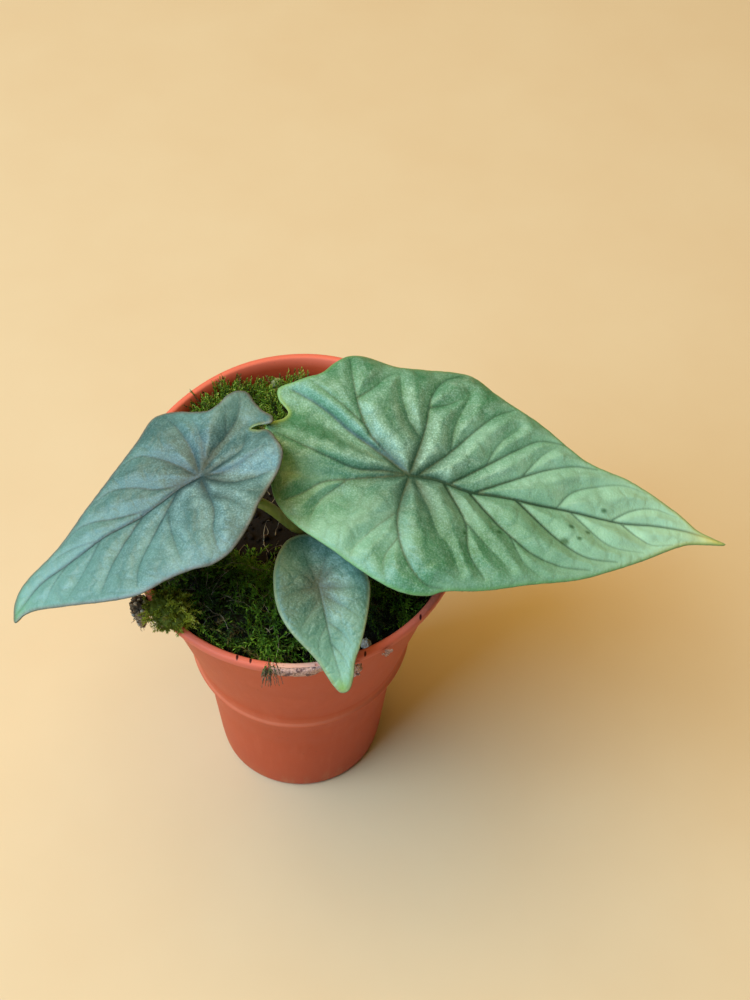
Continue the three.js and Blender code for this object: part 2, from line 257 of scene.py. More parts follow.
level = math.cos(KEY_RISE)
away = Vector((-math.cos(KEY_AROUND) * level, -math.sin(KEY_AROUND) * level, math.sin(KEY_RISE)))
make_floor()
soft_light("window", away * KEY_AWAY + POT_MIDDLE, KEY_SIZE, KEY_POWER, COOL)
soft_light("ceiling", TOP_PLACE, TOP_SIZE, TOP_POWER, WARM)
print("window light comes from", [round(v, 2) for v in away])

# %% Surroundings
ROOM_STRENGTH = 0.01
BACKDROP = seen(226, 206, 168)


def surround():
    """A nearly dark room, with a pale backdrop where the camera looks straight at it."""
    world = bpy.data.worlds.new("room")
    world.use_nodes = True
    nodes = world.node_tree.nodes
    room = nodes["Background"]
    room.inputs["Color"].default_value = (*WARM, 1)
    room.inputs["Strength"].default_value = ROOM_STRENGTH
    backdrop = nodes.new("ShaderNodeBackground")
    backdrop.inputs["Color"].default_value = (*BACKDROP, 1)
    either = nodes.new("ShaderNodeMixShader")
    ray = nodes.new("ShaderNodeLightPath")
    link = world.node_tree.links.new
    link(ray.outputs["Is Camera Ray"], either.inputs[0])
    link(room.outputs[0], either.inputs[1])
    link(backdrop.outputs[0], either.inputs[2])
    link(either.outputs[0], nodes["World Output"].inputs["Surface"])
    return world


bpy.context.scene.world = surround()
bpy.context.scene.view_settings.view_transform = "Standard"
print("surroundings:", bpy.context.scene.world.name)

# %% [markdown]
# ## Meshes from numbers
# Leaves, moss and soil have thousands of points, so they are worked out as whole arrays and
# turned into meshes in one go. A mesh can also carry values from point to point, such as how
# near a point is to a vein. A finish reads them back by name.

# %% Make a piece
def write_marks(mesh, marks):
    for mark, values in marks.items():
        layer = mesh.attributes.new(mark, "FLOAT", "POINT")
        layer.data.foreach_set("value", np.asarray(values, np.float32))


def make_piece(name, points, faces, finish, replaces=(), marks=None, smooth=True):
    """A mesh of points in millimetres, riding on the model's body, with its finish and marks."""
    mesh = bpy.data.meshes.new(name)
    mesh.from_pydata((np.asarray(points, float) * MM).tolist(), [], faces)
    write_marks(mesh, marks or {})
    mesh.materials.append(finish.material)
    mesh.validate()
    if smooth:
        mesh.shade_smooth()
    piece = add(name, mesh)
    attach(piece, "root")
    if replaces:
        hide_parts(*replaces)
    triangles = len(mesh.loops) - 2 * len(mesh.polygons)
    print(f"{name}: {triangles} triangles")
    return piece

# %% Tubes, joins, noise and fades
def tube_faces(rows, columns):
    """Quads between rows of points that go round, and a flat lid on the first and last row."""
    row, column = np.meshgrid(np.arange(rows - 1), np.arange(columns), indexing="ij")
    after = (column + 1) % columns
    quads = np.stack([row * columns + column, row * columns + after,
                      (row + 1) * columns + after, (row + 1) * columns + column], -1)
    last = (rows - 1) * columns
    lids = [tuple(range(columns))[::-1], tuple(range(last, last + columns))]
    return [tuple(quad) for quad in quads.reshape(-1, 4).tolist()] + lids


def joined(parts):
    """One list of points, faces and marks out of several."""
    points, faces, marks, start = [], [], {}, 0
    for some, shell, named in parts:
        points.append(some)
        faces += [tuple(int(i) + start for i in face) for face in shell]
        for mark, values in named.items():
            marks.setdefault(mark, []).append(np.broadcast_to(values, len(some)))
        start += len(some)
    return np.vstack(points), faces, {mark: np.concatenate(v) for mark, v in marks.items()}


def cloud(points, size_mm, seed=0.0):
    """Smooth noise from -1 to 1 at points in millimetres."""
    shift = Vector((seed, 2.3 * seed, -seed))
    return np.array([noise.noise(Vector(p) / size_mm + shift) for p in points])


def fade(distance, reach):
    """1 at no distance, about a third at the reach, and nearly 0 at twice the reach."""
    return np.exp(-((distance / reach) ** 2))


print("faces of a tube of three rings of eight points:", len(tube_faces(3, 8)))

# %% [markdown]
# ## Pot
# A nursery pot like this one is a thin sheet of plastic, drawn over a mould: a flat rolled rim,
# a flared upper wall, a small ledge half way down that keeps stacked pots apart, a straighter
# cup below it, and a base with drain holes. A turned profile gives all of it. The corners are
# softened by averaging the profile with itself, as heated plastic does. The thin rim is pushed
# oval, narrower from side to side and wider from front to back.

# %% Pot profile
POT_BASE = 1.5
RIM_OVAL = 0.085
POT_OUTSIDE = [
    (28.2, 0), (29.3, 1.5), (30, 6), (33.4, 38), (35.9, 52), (37, 56), (37.5, 58.2), (37.4, 59.2),
    (38.9, 59.9), (39.7, 60.7), (39.8, 61.5), (39.1, 62.6), (39.3, 66.5), (45, 87), (50.6, 107),
    (54.6, 122), (56.7, 127.6),
]
POT_RIM = [(57.8, 128.6), (59.1, 128.9), (59.4, 129.6), (59.4, 131.3), (58.9, 131.9), (57.7, 132)]
POT_INSIDE = [
    (57.1, 131.6), (55.7, 127.8), (53.6, 122), (49.6, 107), (44, 87), (38.3, 66.5), (38, 62),
    (36.8, 60), (36.2, 57.5), (35, 52), (32.4, 38), (29, 6), (28.3, POT_BASE),
]
POT_SIDES = 240


def along(points, step):
    """Points a step apart along a line of points."""
    points = np.asarray(points, float)
    lengths = np.r_[0, np.cumsum(np.hypot(*np.diff(points[:, :2], axis=0).T))]
    stops = np.linspace(0, lengths[-1], max(2, int(round(lengths[-1] / step)) + 1))
    return np.stack([np.interp(stops, lengths, column) for column in points.T], -1)


def softened(profile, step, rounds):
    """The profile with its corners rounded, ends kept."""
    line = along(profile, step)
    for _ in range(rounds):
        line[1:-1] = (line[:-2] + 2 * line[1:-1] + line[2:]) / 4
    return line


def thinned(line, bend, longest):
    """The line without the points that its bends don't need."""
    kept = [0]
    for i in range(1, len(line) - 1):
        before = line[i] - line[kept[-1]]
        after = line[i + 1] - line[i]
        turn = abs(math.atan2(before[0] * after[1] - before[1] * after[0], before @ after))
        if turn > bend or np.hypot(*before) > longest:
            kept.append(i)
    return line[[*kept, len(line) - 1]]


def oval_push(points):
    push = RIM_OVAL * points[:, 2] / RIM_HEIGHT
    return np.stack([1 - push, 1 + push, np.ones(len(points))], -1)


def pushed_oval(points):
    return points * oval_push(points)


def unpushed(points):
    """The points as they lie before the rim is pushed oval."""
    return points / oval_push(points)


def turned(profile, sides):
    """Points of a profile turned about the Z axis, ring by ring."""
    angles = 2 * np.pi * np.arange(sides) / sides
    radius, height = np.asarray(profile)[:, :1], np.asarray(profile)[:, 1:]
    rings = [radius * np.cos(angles), radius * np.sin(angles), height + 0 * angles]
    return np.stack(rings, -1).reshape(-1, 3)


profile = thinned(softened(POT_OUTSIDE + POT_RIM + POT_INSIDE, 0.28, 2), math.radians(3), 3.0)
print("pot profile points:", len(profile), "height", profile[:, 1].max())

# %% [markdown]
# ## Pot plastic
# The plastic is terracotta-coloured all through and nearly matt. Up close it has a faint grain
# from the mould, streaks where water ran down, dust, and a paler rim. On the
# front of the rim hard water has left a pinkish chalky crust, and a few dark nicks cut the edge.
# The ledge gets a painted highlight, a pale line along its bead, over a painted shadow in the groove below.
# The inner wall is darkened with painted shade.

# %% Pot finish
CRUST_FROM = math.radians(-97)
CRUST_TO = math.radians(-74)
NICKS = [(-105.2, 57.9), (-100.8, 57.7), (-64.2, 58.9), (-42.8, 58.8)]
NICK_SHAPE = (1, 0.35, 0.35)
NICK_FADES = (0.46, 0.26)


def nick(plastic, degrees, radius):
    """Where a short cut crosses the rim, from front to back."""
    around = math.radians(degrees)
    spot = np.array([[radius * math.cos(around), radius * math.sin(around), RIM_HEIGHT]])
    spot = tuple(float(v) for v in pushed_oval(spot)[0] * MM * NICK_SHAPE)
    inputs = {0: plastic.stretched(*NICK_SHAPE), 1: spot}
    distance = plastic.node("VectorMath", {"operation": "DISTANCE"}, inputs, "Value")
    return plastic.between(distance, NICK_FADES[0] * MM, NICK_FADES[1] * MM)


def pot_plastic():
    plastic = Finish("terracotta_plastic", IOR=1.48, Specular_IOR_Level=0.2)
    streaks = plastic.noise(5, 4, where=plastic.stretched(1, 1, 0.12))
    clouds = plastic.noise(22, 3)
    specks = plastic.between(plastic.cells(2.6), 0.16, 0.07) * plastic.between(clouds, 0.5, 0.62)
    dust = plastic.mark("foot") * plastic.between(streaks, 0.4, 0.7)
    chalk = plastic.between(plastic.noise(1.6, 4) + plastic.mark("crust") * 0.5, 0.72, 0.86)
    chalk = chalk * plastic.between(plastic.mark("crust"), 0.05, 0.3)
    colour = plastic.layered(
        plastic.mix((206, 92, 58), (190, 80, 48), clouds),
        ((214, 112, 84), plastic.between(streaks, 0.5, 0.75) * 0.35),
        ((226, 122, 104), plastic.mark("rim") * 0.75),
        # Painted shade on the inner wall.
        ((106, 34, 16), plastic.mark("inside") * 0.85),
        # Painted highlight on the ledge bead, then painted shadow in the groove under it.
        ((228, 138, 108), plastic.mark("bead") * 0.6),
        ((120, 46, 30), plastic.mark("groove") * 0.7),
        ((196, 150, 110), dust * 0.3),
        ((120, 66, 44), specks * 0.35),
        ((226, 176, 160), chalk),
        *[((62, 20, 22), nick(plastic, *spot)) for spot in NICKS],
    )
    plastic.surface(colour, 0.42 + 0.16 * streaks + 0.35 * chalk)
    grain = plastic.noise(0.5, 2) * 0.35 + streaks * 0.3
    plastic.bump(grain + chalk * 1.6 + plastic.noise(0.9) * chalk, 0.12)
    return plastic


print("nicks in the rim:", len(NICKS))

# %% Turn the pot and drill its drain holes
DRAIN_HOLES = 8
DRAIN_RADIUS = 3
DRAIN_CIRCLE = 19.5
DRILL_SIDES = 32
DRILL_ENDS = (-2, 3)
RIM_FROM = 127.8
RIM_INNER = 56
FOOT_TOP = 12
LEDGE_BEAD = 62.2
LEDGE_GROOVE = 59
LEDGE_WEAR = 63


def pot_marks(points):
    """Where the pot is rim, inside (painted shade), foot, ledge bead (painted highlight), ledge groove
    (painted shadow) or crust, from 0 to 1.
    """
    x, y, z = unpushed(points).T
    radius = np.hypot(x, y)
    rim = np.clip((z - RIM_FROM) / 1.2, 0, 1) * np.clip(radius - RIM_INNER, 0, 1)
    radii, heights = np.array(POT_OUTSIDE).T
    # The inside mark places painted shade on the inner wall.
    inside = np.clip(np.interp(z, heights, radii) - radius - 0.3, 0, 1) * (z > 2)
    middle, half = (CRUST_FROM + CRUST_TO) / 2, (CRUST_TO - CRUST_FROM) / 2
    crust = np.clip(1.25 - np.abs(np.arctan2(y, x) - middle) / half, 0, 1) * rim
    # The bead mark places a painted highlight and the groove mark a painted shadow.
    outside = {"foot": np.clip((FOOT_TOP - z) / 10, 0, 1), "crust": crust,
               "bead": fade(z - LEDGE_BEAD, 0.9), "groove": fade(z - LEDGE_GROOVE, 0.8)}
    outside = {mark: values * (1 - inside) for mark, values in outside.items()}
    return {"rim": rim, "inside": inside, **outside}


def drain_drill():
    """An upright pin for each drain hole."""
    pins = []
    for hole in range(DRAIN_HOLES):
        around = 2 * np.pi * (hole + 0.5) / DRAIN_HOLES
        centre = DRAIN_CIRCLE * np.array([math.cos(around), math.sin(around), 0])
        pin = turned([(DRAIN_RADIUS, end) for end in DRILL_ENDS], DRILL_SIDES)
        pins.append((pin + centre, tube_faces(2, DRILL_SIDES), {}))
    points, faces, _ = joined(pins)
    mesh = bpy.data.meshes.new("drill")
    mesh.from_pydata((points * MM).tolist(), [], faces)
    return add("drill", mesh)


def make_pot():
    rings = turned(profile, POT_SIDES)
    x, y, z = rings.T
    angle = np.arctan2(y, x)
    warp = 0.22 * np.sin(2 * angle + 0.8) + 0.12 * np.sin(5 * angle) + 0.06 * np.sin(9 * angle + 2)
    ledge_wear = 0.25 * np.sin(3 * angle + 1.2) * fade(z - LEDGE_WEAR, 4)
    swell = 1 + (warp * (z / RIM_HEIGHT) ** 2 + ledge_wear) / np.maximum(np.hypot(x, y), 1)
    rings = pushed_oval(rings * np.stack([swell, swell, np.ones(len(swell))], -1))
    pot = make_piece("nursery_pot", rings, tube_faces(len(profile), POT_SIDES), pot_plastic(),
                     ["pot"])
    drill = drain_drill()
    cut = pot.modifiers.new("drain_holes", "BOOLEAN")
    cut.object = drill
    cut.solver = "EXACT"
    drilled = bpy.data.meshes.new_from_object(pot.evaluated_get(bpy.context.evaluated_depsgraph_get()))
    pot.modifiers.clear()
    bpy.data.objects.remove(drill)
    pot.data = drilled
    write_marks(drilled, pot_marks(np.array([v.co for v in drilled.vertices]) / MM))
    print("pot has", len(drilled.polygons), "faces after drilling")


make_pot()

# %% [markdown]
# ## Leaf blades: the shape
# A blade of this kind is a thick leathery sheet. Its stalk joins it inside the sheet, not at the
# edge, so the veins spread from that point like spokes. Both halves rise from the midrib and
# curl down at the margin, the tip droops, and the two back lobes fold between the spokes. The
# construction model gives the same rules, so they are repeated here with the same numbers.

# %% Blade outlines and rules
LEAVES = {
    "large": {
        "junction": (34, -17.5, 167), "heading": 2, "dip": 12, "bank": 12,
        "outline": [
            (103, -2), (98.5, -1), (93, 0.5), (86.5, 4.5), (70.5, 11.5), (61, 13.5), (54.5, 15.5),
            (40.5, 24.5), (26.5, 32.5), (18, 39), (3.5, 37.5), (-5.5, 36.5), (-15, 38.5),
            (-20, 37.5), (-24.5, 33.5), (-28.5, 29), (-35.5, 26), (-40, 24), (-39.5, 20.5),
            (-36.5, 16.5), (-38, 13), (-43, 9), (-42.5, 4), (-37.5, 0), (-39.5, -4.5),
            (-38.5, -10), (-32, -17.5), (-17.5, -27.5), (-3.5, -35.5), (3, -37), (8, -36.5),
            (11.5, -35), (23.5, -33), (37.5, -29), (52, -25), (62, -20.5), (72.5, -15),
            (89, -5.5), (97, -3.5),
        ],
        "fold": 0.1, "crease": 5, "roll": 5, "half_width": 38, "droop": 8, "reach": 100, "dish": 22,
        "spokes": [(60, 0), (120, 1), (137, 0), (152, -5), (172, 0), (188, -5), (205, -8),
                   (235, -5), (280, 0)],
    },
    "left": {
        "junction": (-26, -27.5, 174), "heading": -145, "dip": 18, "bank": 2,
        "outline": [
            (66.5, -0.5), (64, -5), (59, -8), (45, -10), (33, -14), (20, -18.5), (9, -23),
            (1, -27.5), (-1.5, -27), (-5.5, -24), (-10, -18.5), (-13.5, -15.5), (-17, -15.5),
            (-20.5, -16.5), (-23.5, -16.5), (-25.5, -15), (-25.5, -11.5), (-26, -7.5), (-27, -4),
            (-26, -2.2), (-22.5, -4), (-20, -4.6), (-21.2, -2.4), (-23.5, -0.5), (-23.5, 5.5),
            (-23, 10), (-21, 12), (-17.5, 14), (-9, 19.5), (-4.5, 23), (5, 27), (11.5, 27),
            (17.5, 24.5), (24.5, 22.5), (33.5, 20.5), (41.5, 15.5), (49.5, 9), (60.5, 0.5),
            (63.5, -0.5),
        ],
        "fold": 0.14, "crease": 4, "roll": 3, "half_width": 27, "droop": 6, "reach": 66, "dish": 14,
        "spokes": [(100, 0), (140, -2.5), (165, 1.5), (180, -1), (200, -2.5), (225, 2), (260, 0)],
    },
    "small": {
        "junction": (9, -45.5, 149), "heading": -74, "dip": 18, "bank": 3,
        "outline": [
            (31.5, 0), (29.5, -1.5), (21.5, -5), (12.5, -10.5), (7, -12.5), (2, -13), (-3, -12.5),
            (-7, -11.5), (-12, -9), (-15.5, -5.5), (-16.5, -1.5), (-15.5, 2), (-12.5, 6.5),
            (-7.5, 11), (-1.5, 14), (2.5, 14.5), (8.5, 13), (19, 8.5), (24, 5.5), (28.5, 4),
            (31.5, 2),
        ],
        "fold": 0.22, "crease": 3, "roll": 2, "half_width": 14, "droop": 4, "reach": 32, "dish": 10,
        "spokes": [(120, 0), (180, -1.5), (240, 0)],
    },
}


def spoke_rise(spokes, degrees):
    """Rise of the blade in each direction, blended smoothly between its spokes."""
    around = [(spokes[-1][0] - 360, spokes[-1][1]), *spokes, (spokes[0][0] + 360, spokes[0][1])]
    angles, rises = np.array(around, float).T
    direction = np.mod(degrees, 360)
    low = np.clip(np.searchsorted(angles, direction, side="right") - 1, 0, len(angles) - 2)
    part = (direction - angles[low]) / (angles[low + 1] - angles[low])
    return rises[low] + (rises[low + 1] - rises[low]) * part * part * (3 - 2 * part)


def blade_height(leaf, x, y):
    """Height of the blade's middle surface above its own plane."""
    fold = leaf["fold"] * (np.hypot(y, leaf["crease"]) - leaf["crease"])
    roll = leaf["roll"] * (y / leaf["half_width"]) ** 4
    droop = leaf["droop"] * (np.maximum(x, 0) / leaf["reach"]) ** 2
    beyond_dish = 1 - fade(np.hypot(x, y), leaf["dish"])
    return fold - roll - droop + spoke_rise(leaf["spokes"], np.degrees(np.arctan2(y, x))) * beyond_dish


print("blades:", ", ".join(LEAVES))

# %% [markdown]
# ## Leaf blades: the veins
# Veins make this leaf. The midrib and the side veins lie in grooves, the sheet puffs up between
# them, and a fine net joins them. Each vein is a short list of points, as seen on the leaf,
# joined by a smooth curve. There are three kinds, each with its half width and its depth.

# %% Vein lists
MIDRIB = (0.7, 1.0)
SIDE = (0.5, 0.72)
MINOR = (0.36, 0.34)
VEINS = {
    "large": [
        (MIDRIB, [(0, 0), (8.5, 0), (18, -2), (28, -2), (37.5, -2.5), (47.5, -2.5), (58, -3),
                  (68, -3), (78.5, -1.5), (89.5, -1), (102, -1.8)]),
        (MIDRIB, [(0, 0), (-10.5, 7.5), (-17.5, 12), (-25, 17.5), (-32, 21.5), (-36, 23.5)]),
        (SIDE, [(0, 0), (-7.5, 0.5), (-15, 0), (-24, 2), (-31, 4), (-40, 7)]),
        (SIDE, [(0, 0), (-8, 7), (-13, 12), (-17, 20.5), (-19.5, 31), (-20, 36)]),
        (MINOR, [(-15, 14.5), (-21, 19), (-26, 22.5), (-31, 26)]),
        (MINOR, [(-17.5, 22), (-13, 26), (-9, 31), (-5, 34)]),
        (SIDE, [(0, 0), (4, 16), (5.5, 27), (9.5, 34), (15.5, 38)]),
        (MINOR, [(3, 12), (-1.5, 18), (-4, 26), (-4.5, 33.5)]),
        (MINOR, [(5, 23), (10, 25), (16, 29)]),
        (SIDE, [(2, 0), (12, 9.5), (19.5, 18), (26, 24.5), (32, 28)]),
        (MINOR, [(12, 9.5), (13, 18), (16, 26), (18, 31)]),
        (SIDE, [(12, -0.8), (23.5, 7.5), (32.5, 14), (40, 18.5), (48.5, 19)]),
        (MINOR, [(23, 7), (27, 15), (33, 21)]),
        (SIDE, [(20, -2), (32.5, 4.5), (42.5, 9.5), (51.5, 12.5), (59, 13)]),
        (MINOR, [(34, 5), (41, 14), (46, 18)]),
        (MINOR, [(46, -2), (50.5, 3.5), (58, 7), (68, 9.5), (76, 8.5)]),
        (MINOR, [(64, -2.5), (71, 2), (78, 4), (86, 3)]),
        (SIDE, [(0, 0), (-16.5, -3), (-24.5, -4.5), (-31, -9), (-35, -11)]),
        (MINOR, [(-18, -3.5), (-25, -10), (-28, -17)]),
        (SIDE, [(0, 0), (-3, -14), (-2, -22), (1, -29), (6, -34), (11.5, -34.5)]),
        (MINOR, [(-2.5, -12), (-10, -19), (-15, -25)]),
        (MINOR, [(-2, -20), (-6, -27), (-6, -32)]),
        (MINOR, [(1, 0), (6, -10.5), (9, -18.5), (12.5, -22), (16, -30)]),
        (SIDE, [(10.5, -0.5), (17, -12.5), (18.5, -23), (23.5, -30)]),
        (MINOR, [(17, -12.5), (24, -20), (31, -26)]),
        (SIDE, [(18, -2), (27.5, -12), (37.5, -19.5), (47, -22), (56, -21.5)]),
        (MINOR, [(30, -14), (35, -23), (40, -26.5)]),
        (SIDE, [(33, -2.5), (46.5, -13.5), (55, -17.5), (65, -17)]),
        (MINOR, [(50, -2.8), (62.5, -12), (74, -12)]),
        (MINOR, [(66, -3), (76, -8.5), (84, -7)]),
    ],
    "left": [
        (MIDRIB, [(0, 0), (5.5, -1), (14.5, -1), (22.5, -1.5), (30.5, -3), (38.5, -3.5), (47, -4),
                  (54, -4.5), (64, -2.5)]),
        (SIDE, [(0, 0), (-2.5, -8.5), (-3, -13.5), (-3, -18.5), (-2, -25)]),
        (SIDE, [(0, 0), (4.5, -10), (11, -18), (17, -18.5)]),
        (SIDE, [(4.5, -1), (12, -5), (17, -10), (23.5, -14), (30, -14)]),
        (SIDE, [(17, -1.2), (26, -5.5), (36, -10.5), (44, -9.5)]),
        (MINOR, [(34, -3.5), (43, -7), (52, -8)]),
        (SIDE, [(0, 0), (-8, -5), (-13.5, -7), (-18, -9.5), (-22, -13), (-23.5, -15.5)]),
        (MINOR, [(-13, -7), (-16, -11), (-19, -15)]),
        (MINOR, [(-3, -2), (-7, -10), (-8, -16), (-7.5, -20)]),
        (SIDE, [(0, 0), (-8, 1), (-14, 0.5), (-18, -3.5)]),
        (SIDE, [(0, 0), (-8, 4), (-14, 5), (-20, 5.5)]),
        (SIDE, [(0, 0), (-6, 8), (-13, 11), (-18, 12.5)]),
        (SIDE, [(0, 0), (2.5, 13.5), (6, 19), (8, 25)]),
        (MINOR, [(1.5, 8), (-3, 14), (-5, 20)]),
        (SIDE, [(6.5, -1), (13, 3), (21, 8), (28.5, 13.5), (32, 18.5)]),
        (MINOR, [(13, 3), (16, 12), (18, 21)]),
        (SIDE, [(19, -1.2), (27, 2.5), (34, 6.5), (41, 12)]),
        (MINOR, [(33, -3), (41, 1.5), (50, 6)]),
        (MINOR, [(44, -4), (51, -1.5), (57, 2)]),
    ],
    "small": [
        (SIDE, [(0, 0), (9, 0), (17.5, 0), (23.5, 0.3), (30, 1)]),
        (MINOR, [(0, 0), (-7, -1.5), (-12.5, -2), (-15.5, -1.5)]),
        (MINOR, [(-1, 0.5), (-6, 3), (-11, 5)]),
        (MINOR, [(-0.5, 0), (-4, 5.5), (-5, 10)]),
        (MINOR, [(0.5, -0.5), (-4.5, -4), (-8, -7.5)]),
        (MINOR, [(0.5, -0.5), (1, -6), (2, -11)]),
        (MINOR, [(1, 0.5), (2.5, 6.5), (4, 12)]),
        (MINOR, [(3, 0.3), (8, 5.5), (12, 9), (15, 9)]),
        (MINOR, [(4, -0.2), (9, -5), (13, -8), (16, -7.5)]),
        (MINOR, [(11, 0), (16, 4), (21, 6)]),
        (MINOR, [(12, 0), (17, -3.5), (22, -4)]),
        (MINOR, [(18, 0.2), (22, 2.5), (26, 3.5)]),
    ],
}


def smooth_line(points, closed, parts=14):
    """A curve through the points that takes sharp and wide bends without overshooting."""
    points = np.asarray(points, float)
    if closed:
        ring = np.vstack([points[-1:], points, points[:2]])
    else:
        ring = np.vstack([2 * points[0] - points[1], points, 2 * points[-1] - points[-2]])
    stretches = []
    for before, start, end, after in zip(ring[:-3], ring[1:-2], ring[2:-1], ring[3:]):
        steps = np.sqrt(np.maximum(np.linalg.norm(np.diff([before, start, end, after], axis=0),
                                                  axis=1), 1e-6))
        t0, t1, t2, t3 = np.r_[0, np.cumsum(steps)]
        t = np.linspace(t1, t2, parts, endpoint=False)[:, None]
        a = ((t1 - t) * before + (t - t0) * start) / (t1 - t0)
        b = ((t2 - t) * start + (t - t1) * end) / (t2 - t1)
        c = ((t3 - t) * end + (t - t2) * after) / (t3 - t2)
        d = ((t2 - t) * a + (t - t0) * b) / (t2 - t0)
        e = ((t3 - t) * b + (t - t1) * c) / (t3 - t1)
        stretches.append(((t2 - t) * d + (t - t1) * e) / (t2 - t1))
    line = np.vstack(stretches)
    return line if closed else np.vstack([line, points[-1]])


def distance_to(line, spots):
    """Distance from each spot to a line, and how far along the line its nearest point is."""
    best = np.full(len(spots), np.inf)
    share = np.zeros(len(spots))
    lengths = np.r_[0, np.cumsum(np.linalg.norm(np.diff(line, axis=0), axis=1))]
    for i, (start, end) in enumerate(zip(line[:-1], line[1:])):
        run = end - start
        part = np.clip(((spots - start) @ run) / max(run @ run, 1e-9), 0, 1)
        away = np.linalg.norm(spots - start - part[:, None] * run, axis=1)
        nearer = away < best
        best[nearer] = away[nearer]
        share[nearer] = (lengths[i] + part[nearer] * (lengths[i + 1] - lengths[i])) / lengths[-1]
    return best, share


print("veins:", {name: len(veins) for name, veins in VEINS.items()})

# %% [markdown]
# ## Leaf blades: the mesh
# A plain grid would cut across the margin and the veins in steps. So the margin and every vein
# are laid out first as rows of points, the space between is filled with points on a triangular
# lattice, and a constrained triangulation joins them all: its edges follow the margin and the
# veins exactly. The same layout serves the upper and the lower face, and a rounded strip joins
# the two along the margin.

# %% Lay out a blade
SPACING = {"large": 0.54, "left": 0.47, "small": 0.35}
FROM_MARGIN = 0.55
FROM_VEIN = 0.5
FROM_OTHER_VEIN = 0.6


def inside_of(loop, spots):
    """True for spots inside a closed line, by counting the crossings to their right."""
    x, y = spots.T
    inside = np.zeros(len(spots), bool)
    for (x1, y1), (x2, y2) in zip(loop, np.roll(loop, -1, axis=0)):
        spans = (y1 > y) != (y2 > y)
        crossing = x1 + (y - y1) * (x2 - x1) / (y2 - y1 if y2 != y1 else 1e-9)
        inside ^= spans & (x < crossing)
    return inside


def lay_out(name):
    """Flat points and triangles of a blade, and its margin, whose points come first."""
    spacing = SPACING[name]
    ring = smooth_line(LEAVES[name]["outline"], True)
    loop = along(np.vstack([ring, ring[:1]]), spacing)[:-1]
    if (loop[:, 0] * np.roll(loop[:, 1], -1) - loop[:, 1] * np.roll(loop[:, 0], -1)).sum() < 0:
        loop = loop[::-1]
    margin = np.vstack([loop, loop[:1]])
    low, high = loop.min(axis=0), loop.max(axis=0)
    rows = np.arange(low[1], high[1], spacing * math.sqrt(3) / 2)
    columns = np.arange(low[0], high[0], spacing)
    lattice = np.array([(x + spacing / 2 * (j % 2), y) for j, y in enumerate(rows) for x in columns])
    lattice = lattice[inside_of(loop, lattice)]
    lattice = lattice[distance_to(margin, lattice)[0] > FROM_MARGIN * spacing]
    vein_rows = []
    for _, points in VEINS[name]:
        row = along(smooth_line(points, False), spacing)[1:]
        row = row[inside_of(loop, row) & (distance_to(margin, row)[0] > FROM_VEIN * spacing)]
        for other in vein_rows:
            gaps = np.linalg.norm(row[:, None] - other[None], axis=2).min(axis=1)
            row = row[gaps > FROM_OTHER_VEIN * spacing]
        if len(row):
            vein_rows.append(row)
        if len(row) > 1:
            lattice = lattice[distance_to(row, lattice)[0] > FROM_VEIN * spacing]
    spots = [Vector(spot) for spot in np.vstack([loop, *vein_rows, lattice])]
    edge = [(i, (i + 1) % len(loop)) for i in range(len(loop))]
    result = geometry.delaunay_2d_cdt(spots, edge, [list(range(len(loop)))], 1, 1e-6)
    flat = np.array([tuple(v) for v in result[0]])
    triangles = np.array([f for f in result[2] if len(f) == 3])
    return flat, triangles, loop


print("points stand this many mm apart:", SPACING)

# %% [markdown]
# ## Leaf blades: relief and marks
# The veins lie in shallow valleys, and the sheet puffs up between them. A displacement map could
# show that, but it needs a picture. Here each point's distance to the nearest vein gives its
# height, so the relief is real geometry. The same distances are kept as marks that tell the
# finish where veins, margin, tip and dark dots are.

# %% Measure a blade's relief
VEIN_SCALE = {"large": 1.0, "left": 0.8, "small": 0.75}
SIDE_STRENGTH = {"large": 1, "left": 0.6, "small": 0.5}


def vein_relief(name, flat):
    """Groove depth, vein colour with painted shade, and distance to the nearest vein at each flat point."""
    groove = np.zeros(len(flat))
    vein_dark_and_shade = np.zeros(len(flat))
    nearest = np.full(len(flat), 99.0)
    for (width, depth), points in VEINS[name]:
        away, share = distance_to(along(smooth_line(points, False), 1.2), flat)
        wide = VEIN_SCALE[name] * width * (1 - 0.45 * share)
        valley = fade(away, 2.2 * wide + 1.3)
        depth = depth if depth == MIDRIB[1] else depth * SIDE_STRENGTH[name]
        groove = np.maximum(groove, depth * (1 - 0.6 * share) * (0.45 * fade(away, wide) + 0.55 * valley))
        # A dark line on the vein, its own colour, and a wider painted shade across its valley.
        dark = 0.95 * fade(away, 0.3 + 0.45 * wide) + 0.25 * valley
        vein_dark_and_shade = np.maximum(vein_dark_and_shade, dark * (0.45 + depth) / 1.45 * (1 - 0.5 * share))
        nearest = np.minimum(nearest, away + 0.8 * share)
    # Painted shade near the veins round the stalk's junction.
    middle = fade(np.hypot(*flat.T), 0.55 * LEAVES[name]["half_width"])
    vein_dark_and_shade = np.maximum(vein_dark_and_shade, 0.7 * middle * fade(nearest, 2.4))
    return groove, vein_dark_and_shade, nearest


def fine_net(flat, size, seed):
    """How near each point is to the fine net of veins: 1 on a vein of the net, 0 inside a mesh."""
    gaps = np.empty(len(flat))
    for i, (x, y) in enumerate(flat / size):
        bend = noise.noise((x * 0.6, y * 0.6, seed)) * 0.35
        first, second = noise.voronoi((x + bend, y - bend, seed))[0][:2]
        gaps[i] = second - first
    return fade(gaps, 0.16)


print("side veins are this strong:", SIDE_STRENGTH)

# %% Mark a blade for its finish
LIPS = {"large": (-40, 12, 9), "left": (-21, -4, 3), "small": (-40, 0, 1)}
DOTS = [(50, -8.5, 0.7), (48, -13.5, 1.1), (52.5, -12, 0.6), (55.5, -9, 0.6), (61, -0.5, 0.7),
        (17, -16.5, 0.6), (27.5, -14.5, 0.7)]


